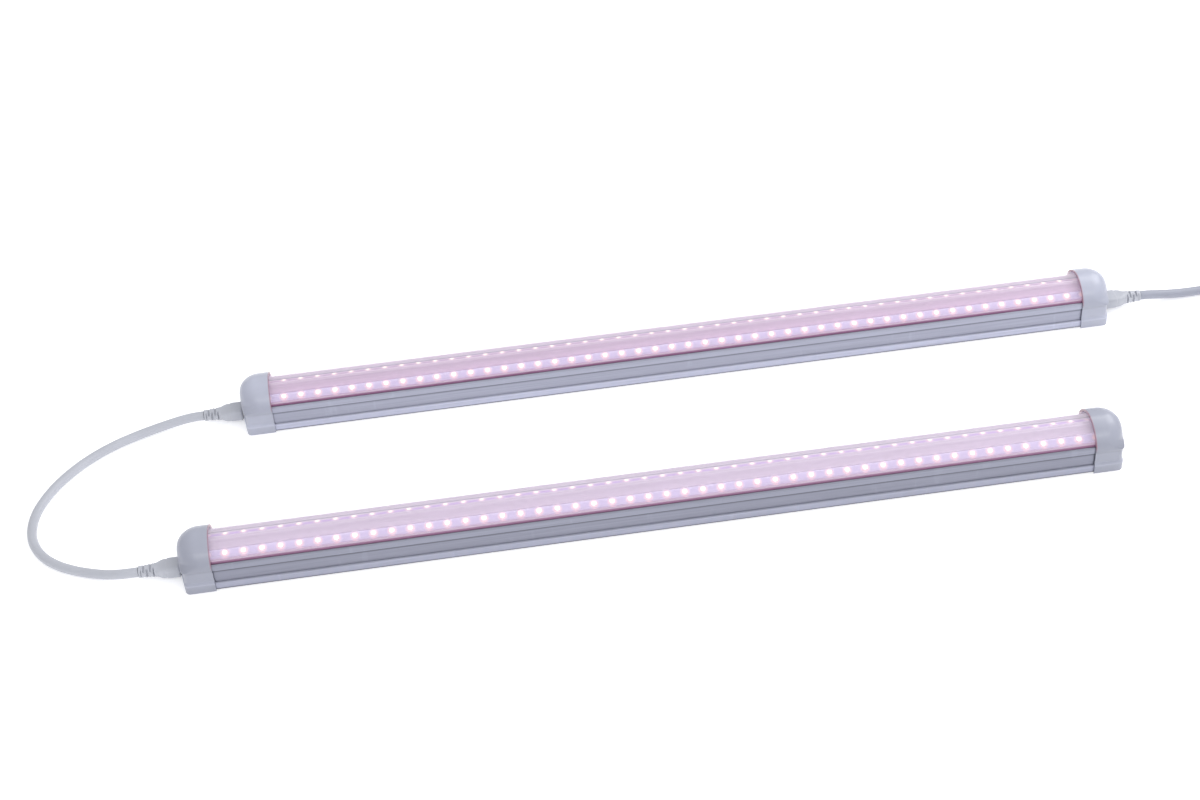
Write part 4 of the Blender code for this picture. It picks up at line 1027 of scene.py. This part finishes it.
def screw_shape(x, y):
    """A pan-head screw with a cross recess: radius steps inwards over the head's low face.

    The recess deepens where a point is near either arm of a cross, by a product of steps.
    """
    t = circle(64)
    radius = column([0.12, 0.5, 0.8, 1.05, 1.3, 1.6, 2.1, 2.42, 2.5, 2.5, 1.15, 1.15, 0.4])
    height = column([0.15, 0.15, 0.15, 0.15, 0.15, 0.15, 0.2, 0.36, 0.55, 0.95, 0.95, 6.6, 7.4])
    arm = np.minimum(np.abs(np.sin(t)), np.abs(np.cos(t))) * radius
    cross = smooth_step((0.42 - arm) / 0.16) * smooth_step((1.5 - radius) / 0.3)
    z = height + 0.55 * cross * (height < 0.5)
    return loft(np.stack([x + radius * np.cos(t), y + radius * np.sin(t), z + 0 * t], axis=-1))


def lead_shape(side, dx, dy):
    """The short lamp lead that goes round the housing's end, as a tube along a smooth path."""
    y, end = side * LEAD_OFFSET, LENS_HALF_LENGTH
    rise = LIP_TOP + RIDGE_HEIGHT / 10
    path = [(276, y, 14.2), (284, y, 14.4), (289, y, 14.6), (end, y, 16.4), (end, y, 20),
            (end - 0.2, y, rise), (288.0, y, rise + 1.0), (283.6, y, rise + 0.5)]
    line = smooth_route(path, 0.8) / MM
    ahead = np.gradient(line, axis=0)
    ahead /= np.linalg.norm(ahead, axis=1, keepdims=True)
    across = np.array((0.0, 1.0, 0.0))
    up = np.cross(ahead, across)
    t = circle(10)[None, :, None]
    tube = line[:, None] + LEAD_RADIUS * (np.cos(t) * across + np.sin(t) * up[:, None])
    return loft(tube * (-1, 1, 1) + (dx, dy, 0))


# ---------------------------------------------------------------- shapes on the cords

def relief_radius(along, t, start, end, thick, thin, gap):
    """A tapered sleeve's radius, cut by slits that change sides from one to the next.

    The taper is a straight line in the distance along.  A slit lowers the radius by its
    depth over a short stretch, on two opposite sides, and the next on the other two.
    """
    share = np.clip((along - start) / (end - start), 0, 1)
    taper = thick + (thin - thick) * share
    turn = (along - start - 1.2) / gap
    near = smooth_step((0.32 - np.abs(turn - np.round(turn))) / 0.12)
    inside = smooth_step((along - start - 1.0) / 0.4) * smooth_step((end - 1.2 - along) / 0.4)
    sides = np.where(np.round(turn) % 2 < 1, np.abs(np.cos(t)), np.abs(np.sin(t)))
    depth = settings("sizes").slit_depth / MM
    return taper - depth * near * inside * smooth_step((sides - 0.42) / 0.2)


def bar_plug_shape(place, side):
    """A moulded plug: chamfered face, stepped body, sloping shoulder, slit strain relief."""
    x, y = place
    body = np.concatenate([[0.3, 0.55, 1.1], np.linspace(1.6, PLUG_LENGTH - 5, 40),
                           np.linspace(PLUG_LENGTH - 4.6, PLUG_LENGTH, 12)])
    out = column(np.concatenate([body, np.linspace(PLUG_LENGTH + 0.25, RELIEF_END, 60)]))
    shoulder = smooth_step((out - (PLUG_LENGTH - 5)) / 5)
    chamfer = 0.7 * smooth_step((1.1 - out) / 0.8) + 0.35 * smooth_step((out - 8.2) / 0.5)
    a_half = PLUG_HALF[0] - chamfer
    b_half = PLUG_HALF[1] - chamfer
    count = 56
    sleeve = relief_radius(out, circle(count), PLUG_LENGTH, RELIEF_END, *BAR_RELIEF)
    a_half = a_half + (sleeve - a_half) * shoulder
    b_half = b_half + (sleeve * 0.96 - b_half) * shoulder
    a, b = section(a_half, b_half, 5.0 - 3.0 * shoulder, count)
    return along_x(x + side * out, y, SOCKET_HEIGHT, a, b)


def mains_plug_shape():
    """A moulded mains plug: slit sleeve, swelling shoulder, ribbed grip, flat chamfered face."""
    back = column(np.concatenate([np.linspace(0, MAINS_RELIEF - 3, 70),
                                  np.linspace(MAINS_RELIEF - 2.6, MAINS_END - 2.5, 60),
                                  np.linspace(MAINS_END - 2.2, MAINS_END, 7)]))
    knots = [0, MAINS_RELIEF - 3, MAINS_RELIEF, MAINS_RELIEF + 7, MAINS_END - 3, MAINS_END]
    a_half = np.interp(back, knots, [3.9, 5.8, 8.2, 13.0, 14.0, 13.2])
    b_half = np.interp(back, knots, [3.9, 5.8, 7.8, 11.2, 12.3, 11.5])
    flat = smooth_step((back - MAINS_RELIEF + 3) / 9)
    start, end = GRIP_PLACE
    ripple = smooth_step((np.abs(((back - start) / GRIP_PITCH) % 1 - 0.5) - 0.25) / 0.12)
    grip = ripple * (back > start) * (back < end) * settings("sizes").rib_depth / MM
    sleeve = relief_radius(back, circle(64), 0.0, MAINS_RELIEF - 2, *MAINS_SLEEVE)
    on_sleeve = back < MAINS_RELIEF - 3
    a_half = np.where(on_sleeve, sleeve, a_half - grip)
    b_half = np.where(on_sleeve, sleeve, b_half)
    a, b = section(a_half, b_half, 2 + 2.6 * flat, 64)
    return along_y(SWITCH_X, MAINS_REAR_Y - back, PLUG_AXIS_HEIGHT, a, b)


def blade_shape(sign):
    """A flat blade with a rounded end: its half width shrinks by a circle's sine at the tip."""
    start, tip_length = BLADE_STRAIGHT, 3.2
    rounding = tip_length * np.sin(np.linspace(0, 1, 14) * np.pi / 2)
    out = column(np.concatenate([[0.0, 10.0], start + rounding]))
    tip = np.clip((out - start) / tip_length, 0, 1)
    half = BLADE_HALF * np.sqrt(np.maximum(1 - tip ** 2, 0.02))
    thick = 0.75 - 0.3 * smooth_step((out - 16) / 1.5)
    a, b = section(half, thick, column([12] * len(out)), 24)
    return along_y(SWITCH_X + BLADE_PLACE[0], MAINS_FACE - out,
                   PLUG_AXIS_HEIGHT + sign * BLADE_PLACE[1], a, b)


def earth_pin_shape():
    """A round pin with a domed tip: radius as the root of one less the distance squared."""
    dome = np.linspace(0, 0.995, 12)
    out = column(np.concatenate([[0.0, 8.0], EARTH_STRAIGHT + 3.0 * dome]))
    radius = column(np.concatenate([[1.0, 1.0], np.sqrt(1 - dome ** 2)])) * EARTH_RADIUS
    t = circle(32)
    return along_y(SWITCH_X + EARTH_OFFSET, MAINS_FACE - out, PLUG_AXIS_HEIGHT,
                   radius * np.cos(t), radius * np.sin(t))


def switch_rings(z, inset, power):
    """Rounded sections of the switch, one for each height, drawn in by the insets."""
    a, b = section(SWITCH_HALF[0] - column(inset), SWITCH_HALF[1] - column(inset),
                   column(power), 72)
    return loft(np.stack([SWITCH_X + a, SWITCH_Y + b, column(z) + 0 * a], axis=-1))


def cord_mouth_cutter():
    """A round channel right through the switch for the cord."""
    reach = SWITCH_HALF[1] + 3
    radius = column([CORD_RADIUS + 0.15] * 2)
    t = circle(32)
    return along_y(SWITCH_X, column([SWITCH_Y - reach, SWITCH_Y + reach]), SWITCH_SPLIT,
                   radius * np.cos(t), radius * np.sin(t))


def rocker_shape():
    """The rocker: a dished top and a rounded belly, both functions of y, turned to its tilt."""
    share = np.linspace(-1, 1, 41)
    top = 2.8 + 1.6 * share ** 2
    belly = -4.4 + 4.8 * np.abs(share) ** 3
    top_line = np.column_stack([9.5 * share, top])
    low_line = np.column_stack([8.8 * share, belly])[::-1]
    loop = np.vstack([top_line, low_line])
    c, s = math.cos(ROCKER_TILT), math.sin(ROCKER_TILT)
    y = SWITCH_Y + loop[:, 0] * c - loop[:, 1] * s
    z = ROCKER_PIVOT + loop[:, 0] * s + loop[:, 1] * c
    middle_y, middle_z = y.mean(), z.mean()
    out = [(-5.9, 0.95), (-5.6, 1.0), (5.6, 1.0), (5.9, 0.95)]
    rings = [np.column_stack([np.full(len(y), SWITCH_X + x), middle_y + (y - middle_y) * k,
                              middle_z + (z - middle_z) * k]) for x, k in out]
    return loft(np.stack(rings))


def coil_place(t):
    """Radius and height of the wound cord after t turns.

    Four turns go inwards on the floor, the rest come out again on top of them.  Each turn
    keeps its own radius, then drifts by one pitch over its last three quarters.  The fourth
    turn rises from the lower layer to the upper one.  It stands one pitch from the turn
    below and the turn above all the way: at the tip of a triangle whose base joins those
    two, half = (pitch (s - 1/2), pitch / 2) being half of the base.
    """
    turn = np.floor(t)
    s = smooth_step((t - turn - 0.25) / 0.75)
    outer = COIL_MIDDLE + COIL_PITCH * 1.5
    inner = outer - 3 * COIL_PITCH
    half = np.hypot(COIL_PITCH * (s - 0.5), COIL_PITCH / 2)
    tall = np.sqrt(COIL_PITCH ** 2 - half ** 2) / half
    rising = turn == 3
    radius = np.where(turn < 3, outer - COIL_PITCH * (turn + s), inner + COIL_PITCH * (turn - 4 + s))
    radius = np.where(rising, inner + COIL_PITCH / 2 - COIL_PITCH / 2 * tall, radius)
    height = np.where(turn < 3, CORD_LIE, CORD_LIE + COIL_PITCH)
    height = np.where(rising, CORD_LIE + COIL_PITCH / 2 + COIL_PITCH * (s - 0.5) * tall, height)
    return radius, height


def coil_route():
    """The wound length, clockwise from the side away from the front bar."""
    t = np.linspace(0, COIL_TURNS, round(COIL_TURNS * 30) + 1)
    radius, height = coil_place(t)
    angle = np.pi / 2 - 2 * np.pi * t
    return np.column_stack([COIL_CENTRE[0] + radius * np.cos(angle),
                            COIL_CENTRE[1] + radius * np.sin(angle), height])


def tie_shape():
    """A flat tie drawn tight round the coil: the hull of the turns' circles where it passes.

    For each direction the tie touches the turn that reaches furthest that way.
    """
    radius, height = coil_place(TIE_TURN + np.arange(int(COIL_TURNS)))
    turns = np.column_stack([radius, height])
    way = np.linspace(0, 2 * np.pi, 97)[:-1]
    way = np.column_stack([np.cos(way), np.sin(way)])
    touched = turns[np.argmax(way @ turns.T, axis=1)]
    angle = math.pi / 2 - 2 * math.pi * TIE_TURN
    out = np.array((math.cos(angle), math.sin(angle)))
    along = np.array((-out[1], out[0]))
    half = TIE_WIDTH / 2
    rings = []
    for shift, lift in ((-half, 0.05), (half, 0.05), (half, 0.5), (-half, 0.5)):
        line = touched + way * (CORD_RADIUS + lift)
        xy = np.array(COIL_CENTRE) + np.outer(line[:, 0], out) + along * shift
        rings.append(np.column_stack([xy, np.maximum(line[:, 1], 0.0)]))
    return patch(np.stack(rings), wrap_rows=True, wrap_columns=True)


# ---------------------------------------------------------------- operators

class Build:
    """What every building operator shares."""
    bl_options = {"REGISTER", "UNDO"}


class GROWLIGHT_OT_stage(Build, bpy.types.Operator):
    """Camera, pale floor and soft studio light"""
    bl_idname = "growlight.stage"
    bl_label = "Stage"

    def execute(self, context):
        stage = settings("stage")
        scene = context.scene
        forward = Vector((math.sin(CAMERA_YAW) * math.cos(CAMERA_RISE),
                          math.cos(CAMERA_YAW) * math.cos(CAMERA_RISE), -math.sin(CAMERA_RISE)))
        level = Vector((math.cos(CAMERA_YAW), -math.sin(CAMERA_YAW), 0))
        above = level.cross(forward)
        right = level * math.cos(CAMERA_ROLL) - above * math.sin(CAMERA_ROLL)
        up = level * math.sin(CAMERA_ROLL) + above * math.cos(CAMERA_ROLL)
        data = bpy.data.cameras.new("camera")
        data.sensor_width = CAMERA_SENSOR
        data.lens = CAMERA_LENS
        camera = bpy.data.objects.new("camera", data)
        turn = Matrix((right, up, -forward)).transposed().to_4x4()
        camera.matrix_world = Matrix.Translation(CAMERA_AIM - forward * CAMERA_DISTANCE) @ turn
        scene.collection.objects.link(camera)
        scene.camera = camera
        scene.view_settings.view_transform = "Standard"

        world = bpy.data.worlds.new("studio")
        scene.world = world
        world.use_nodes = True
        nodes, links = world.node_tree.nodes, world.node_tree.links
        way = nodes.new("ShaderNodeTexCoord")
        parts = nodes.new("ShaderNodeSeparateXYZ")
        ramp = nodes.new("ShaderNodeValToRGB")
        for element, (position, colour) in zip(ramp.color_ramp.elements, SKY_RAMP):
            element.position = position
            element.color = (*colour, 1.0)
        lift = nodes.new("ShaderNodeMapRange")
        lift.inputs[1].default_value = -1.0
        links.new(way.outputs["Generated"], parts.inputs[0])
        links.new(parts.outputs[2], lift.inputs[0])
        links.new(lift.outputs[0], ramp.inputs[0])
        links.new(ramp.outputs[0], nodes["Background"].inputs[0])
        nodes["Background"].inputs[1].default_value = stage.sky

        self.add_light("key_light", stage.key_power, KEY_PLACE, KEY_SIZE)
        self.add_light("strip_light", stage.strip_power, STRIP_PLACE, STRIP_SIZE)

        half = FLOOR_HALF
        mesh = bpy.data.meshes.new("floor")
        mesh.from_pydata([(-half, -half, 0), (half, -half, 0), (half, half, 0), (-half, half, 0)],
                         [], [(0, 1, 2, 3)])
        floor = bpy.data.objects.new("floor", mesh)
        f = Finish("pale_floor", tuple(stage.floor), 0.9)
        f.base(f.mix(f.noise(3, 2), shade(tuple(stage.floor), 0.995), tuple(stage.floor)))
        f.shader.inputs["Specular IOR Level"].default_value = 0.1
        f.glow(WHITE, stage.floor_lift)
        mesh.materials.append(f.material)
        scene.collection.objects.link(floor)
        return {"FINISHED"}

    def add_light(self, name, power, place, size):
        """A soft rectangular light that faces the middle of the object."""
        data = bpy.data.lights.new(name, "AREA")
        data.shape = "RECTANGLE"
        data.size, data.size_y = size
        data.energy = power
        light = bpy.data.objects.new(name, data)
        light.location = place
        light.rotation_euler = (-Vector(place)).to_track_quat("-Z", "Y").to_euler()
        bpy.context.scene.collection.objects.link(light)


def add_cord(name, points, body, nodes, material):
    """A round cord as one open spline with closed ends."""
    curve = bpy.data.curves.new(name, "CURVE")
    curve.dimensions = "3D"
    curve.bevel_depth = CORD_RADIUS * MM
    curve.bevel_resolution = 5
    curve.use_fill_caps = True
    spline = curve.splines.new("POLY")
    spline.points.add(len(points) - 1)
    spline.points.foreach_set("co", np.column_stack([points, np.ones(len(points))]).ravel())
    spline.use_smooth = True
    curve.materials.append(material)
    cord = bpy.data.objects.new(name, curve)
    bpy.context.scene.collection.objects.link(cord)
    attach(cord, body)
    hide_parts(*nodes)


class GROWLIGHT_OT_cords(Build, bpy.types.Operator):
    """The link cord between the bars, and the power cord with its tied coil"""
    bl_idname = "growlight.cords"
    bl_label = "Cords"

    def execute(self, context):
        material = vinyl_finish("cord_vinyl", tuple(settings("colours").cord))
        add_cord("link_cord", smooth_route(LINK_ROUTE, 2.5), "link_cord", ["link_cord_cable"],
                 material)
        # The power cord's vinyl is a darker copy of the cord's, as painted shade
        shaded_supply = vinyl_finish("supply_cord_vinyl", tuple(settings("colours").shaded_supply))
        power = smooth_route([*FEED_ROUTE, *coil_route(), *TAIL_ROUTE, *END_ROUTE], 2.5)
        lengths = ["power_cord_feed", "power_cord_coil", "power_cord_tail", "power_cord_end"]
        add_cord("power_cord", power, "power_cord", lengths, shaded_supply)
        tie = vinyl_finish("tie_strap", (0.30, 0.31, 0.33), 0.6)
        add_piece("coil_tie", tie_shape(), tie, "power_cord")
        return {"FINISHED"}


class GROWLIGHT_OT_housings(Build, bpy.types.Operator):
    """The two aluminium extrusions, hollow, with their screw sinks"""
    bl_idname = "growlight.housings"
    bl_label = "Housings"

    def execute(self, context):
        for bar in BARS:
            dx, dy = bar_place(bar)
            sinks = []
            for side in (-1, 1):
                place = (dx + side * SCREW_PLACE[0], dy + SCREW_PLACE[1])
                sinks.append(turned([(2.8, -1.0), (2.8, 1.3), (1.45, 1.3), (1.45, 2.5)], place))
            mesh = carved(bar + "_extrusion", housing_shape(dx, dy), sinks)
            add_piece(bar + "_extrusion", mesh, aluminium_finish(bar), bar + "_bar",
                      [bar + "_housing"], 25)
        return {"FINISHED"}


class GROWLIGHT_OT_covers(Build, bpy.types.Operator):
    """The two clear domed covers"""
    bl_idname = "growlight.covers"
    bl_label = "Clear covers"

    def execute(self, context):
        for bar in BARS:
            add_piece(bar + "_clear_cover", lens_shape(*bar_place(bar)), cover_finish(bar),
                      bar + "_bar", [bar + "_lens"], 35)
        return {"FINISHED"}


class GROWLIGHT_OT_lamps(Build, bpy.types.Operator):
    """Lamp strips, their rows of chips, and the short leads to them"""
    bl_idname = "growlight.lamps"
    bl_label = "Lamp strips"

    def execute(self, context):
        wire = vinyl_finish("lamp_wire", (0.55, 0.55, 0.57))
        for bar in BARS:
            dx, dy = bar_place(bar)
            strip = strip_finish(bar)
            for row, side, strength in (("front", -1, 2.0), ("rear", 1, 0.9)):
                name = f"{bar}_{row}_lamp"
                chip = chip_finish(bar, row, strength)
                add_piece(name + "_strip", strip_shape(side, dx, dy), strip, bar + "_bar",
                          [name + "_board"], 30)
                add_piece(name + "_chips", chips_shape(side, dx, dy), chip, bar + "_bar",
                          (), 35)
                add_piece(name + "_wire", lead_shape(side, dx, dy), wire, bar + "_bar",
                          [name + "_lead"], 60)
        return {"FINISHED"}


class GROWLIGHT_OT_caps(Build, bpy.types.Operator):
    """End caps, with the pin blocks in their sockets and the screws that hold them"""
    bl_idname = "growlight.caps"
    bl_label = "End caps"

    def execute(self, context):
        nylon = moulded_finish("header_nylon", (0.34, 0.35, 0.37), 0.45, 1.5, 0.0)
        brass = metal_finish("pin_brass", (0.78, 0.60, 0.28), 0.26)
        steel = metal_finish("screw_zinc", (0.55, 0.55, 0.56), 0.3, (1, 1, 0.1))
        for bar in BARS:
            dx, dy = bar_place(bar)
            body, plastic = bar + "_bar", cap_finish(bar)
            for end, side in zip(ENDS, (-1, 1)):
                name = f"{bar}_{end}_"
                cutters = [pocket_shape(side, dx, dy), mouth_shape(side, dx, dy)]
                mesh = carved(name + "end_cap", cap_shape(side, dx, dy), cutters)
                add_piece(name + "end_cap", mesh, plastic, body, [name + "cap"], 38)
                add_piece(name + "pin_block", header_shape(side, dx, dy), nylon, body,
                          [name + "pin_header"], 35)
                add_piece(name + "pins", pins_shape(side, dx, dy), brass, body)
                screw = screw_shape(dx + side * SCREW_PLACE[0], dy + SCREW_PLACE[1])
                add_piece(name + "screw", screw, steel, body,
                          [name + "cap_screw"], 35)
        return {"FINISHED"}


class GROWLIGHT_OT_plugs(Build, bpy.types.Operator):
    """The three moulded plugs that go into the bars"""
    bl_idname = "growlight.plugs"
    bl_label = "Bar plugs"

    def execute(self, context):
        material = vinyl_finish("plug_vinyl", tuple(settings("colours").cord), 0.4)
        for name, body, place, side in (
                ("link_rear_plug", "link_cord", (REAR[0] - HALF, REAR[1]), -1),
                ("link_front_plug", "link_cord", (FRONT[0] - HALF, FRONT[1]), -1),
                ("power_bar_plug", "power_cord", (REAR[0] + HALF, REAR[1]), 1)):
            add_piece(name + "_moulding", bar_plug_shape(place, side), material, body,
                      [name], 50)
        return {"FINISHED"}


class GROWLIGHT_OT_switch(Build, bpy.types.Operator):
    """The inline switch: lower and upper shells and the rocker"""
    bl_idname = "growlight.switch"
    bl_label = "Inline switch"

    def execute(self, context):
        plastic = moulded_finish("switch_plastic", tuple(settings("colours").cord), 0.36, 1.6)
        split, top = SWITCH_SPLIT, SWITCH_TOP
        lower = switch_rings([0.1, 0.35, 1.2, 3.0, split - 0.5, split - 0.15],
                             [2.0, 1.2, 0.4, 0.0, 0.0, 0.3], [4.2, 4.4, 4.8, 5, 5, 5])
        hollow = switch_rings([1.8, split + 1], [2.8, 1.8], [5, 5])
        add_piece("switch_lower", carved("switch_lower", lower, [hollow, cord_mouth_cutter()]),
                  plastic, "power_cord", ["switch_base"], 35)
        upper = switch_rings([split + 0.15, split + 0.5, 13, top - 2.4, top - 1.2, top - 0.4, top],
                             [0.3, 0.0, 0.15, 0.6, 1.4, 2.4, 3.6], [5, 5, 5, 4.8, 4.6, 4.4, 4.2])
        hollow = switch_rings([split - 1, top - 1.8], [1.8, 3.8], [5, 5])
        window = box_shape((SWITCH_X - 8.0, SWITCH_Y - 12.4, split),
                           (SWITCH_X + 8.0, SWITCH_Y + 12.4, top + 1))
        add_piece("switch_upper",
                  carved("switch_upper", upper, [hollow, window, cord_mouth_cutter()]),
                  plastic, "power_cord", ["switch_cover"], 35)
        add_piece("rocker_key", rocker_shape(), rocker_finish(), "rocker",
                  ["switch_rocker"], 45)
        return {"FINISHED"}


class GROWLIGHT_OT_mains_plug(Build, bpy.types.Operator):
    """The mains plug with its blades and earth pin"""
    bl_idname = "growlight.mains_plug"
    bl_label = "Mains plug"

    def execute(self, context):
        vinyl = vinyl_finish("mains_vinyl", tuple(settings("colours").cord), 0.4)
        brass = metal_finish("blade_brass", (0.80, 0.62, 0.30), 0.24, (1, 0.05, 1))
        add_piece("mains_plug_moulding", mains_plug_shape(), vinyl, "power_cord",
                  ["mains_plug"], 50)
        add_piece("mains_blades", joined(blade_shape(1), blade_shape(-1)), brass, "power_cord",
                  ["mains_blade_live", "mains_blade_neutral"], 35)
        add_piece("mains_earth", earth_pin_shape(), brass, "power_cord",
                  ["mains_earth_pin"], 50)
        return {"FINISHED"}


class GROWLIGHT_OT_inner_parts(Build, bpy.types.Operator):
    """Finishes for the pieces that keep the frame's own meshes"""
    bl_idname = "growlight.inner_parts"
    bl_label = "Inner parts"

    def execute(self, context):
        insert = moulded_finish("insert_nylon", (0.50, 0.51, 0.54), 0.42, 1.5, 0.0)
        black = moulded_finish("component_black", (0.02, 0.02, 0.022), 0.42, 2.0, 0.0)
        winding = metal_finish("inductor_tape", (0.55, 0.45, 0.12), 0.5, (1, 0.05, 1), 900)
        winding.node_tree.nodes["Principled BSDF"].inputs["Metallic"].default_value = 0.0
        film = moulded_finish("insulating_film", (0.70, 0.70, 0.66), 0.35, 0.6, 0.1)
        wire = vinyl_finish("wire_vinyl", (0.42, 0.42, 0.43))
        board = board_finish()
        frame_black = moulded_finish("frame_black", (0.022, 0.022, 0.025), 0.36, 2.0, 0.1)
        given = {"switch_frame": frame_black}
        for plug in ("link_rear_plug", "link_front_plug", "power_bar_plug"):
            given[plug + "_insert"] = insert
        for bar in BARS:
            given[bar + "_driver_channel"] = film
            given[bar + "_driver_board"] = board
            given[bar + "_driver_inductor"] = winding
            given[bar + "_driver_capacitor"] = black
            given[bar + "_driver_rectifier"] = black
            given[bar + "_through_wires"] = wire
        for node, material in given.items():
            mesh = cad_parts[node].data
            mesh.materials.clear()
            mesh.materials.append(material)
        return {"FINISHED"}


class GROWLIGHT_OT_cord_facts(Build, bpy.types.Operator):
    """List each cord's far end, its lay and the pieces it carries; nothing is passed on"""
    bl_idname = "growlight.cord_facts"
    bl_label = "Cord facts"

    def execute(self, context):
        self.declare("link_cord", "object", "loose",
                     ["link_rear_plug_moulding", "link_front_plug_moulding"])
        self.declare("power_cord", "plug", "coiled",
                     ["mains_plug_moulding", "mains_blades", "mains_earth", "switch_lower",
                      "switch_upper", "switch_frame", "coil_tie", "power_bar_plug_moulding"])
        return {"FINISHED"}

    def declare(self, name, far_end, lay, carried):
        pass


class GROWLIGHT_PT_panel(bpy.types.Panel):
    """The building steps, and the sizes and colours that they read"""
    bl_idname = "GROWLIGHT_PT_panel"
    bl_label = "Grow Light"
    bl_space_type = "VIEW_3D"
    bl_region_type = "UI"
    bl_category = "Grow Light"

    def draw(self, context):
        for operator in OPERATORS:
            self.layout.operator(operator.bl_idname)
        for group, kind in GROUPS.items():
            box = self.layout.box()
            for name in kind.__annotations__:
                box.prop(settings(group), name)


OPERATORS = (
    GROWLIGHT_OT_stage,
    GROWLIGHT_OT_cords,
    GROWLIGHT_OT_housings,
    GROWLIGHT_OT_covers,
    GROWLIGHT_OT_lamps,
    GROWLIGHT_OT_caps,
    GROWLIGHT_OT_plugs,
    GROWLIGHT_OT_switch,
    GROWLIGHT_OT_mains_plug,
    GROWLIGHT_OT_inner_parts,
    GROWLIGHT_OT_cord_facts,
)
GROUPS = {"sizes": GrowLightSizes, "colours": GrowLightColours, "stage": GrowLightStage}


def register():
    for kind in (*GROUPS.values(), *OPERATORS, GROWLIGHT_PT_panel):
        bpy.utils.register_class(kind)
    for group, kind in GROUPS.items():
        setattr(bpy.types.Scene, "growlight_" + group, PointerProperty(type=kind))


def unregister():
    for group in GROUPS:
        delattr(bpy.types.Scene, "growlight_" + group)
    for kind in (GROWLIGHT_PT_panel, *reversed(OPERATORS), *GROUPS.values()):
        bpy.utils.unregister_class(kind)


def main():
    register()
    for operator in OPERATORS:
        space, name = operator.bl_idname.split(".")
        getattr(getattr(bpy.ops, space), name)()


if __name__ == "__main__":
    main()
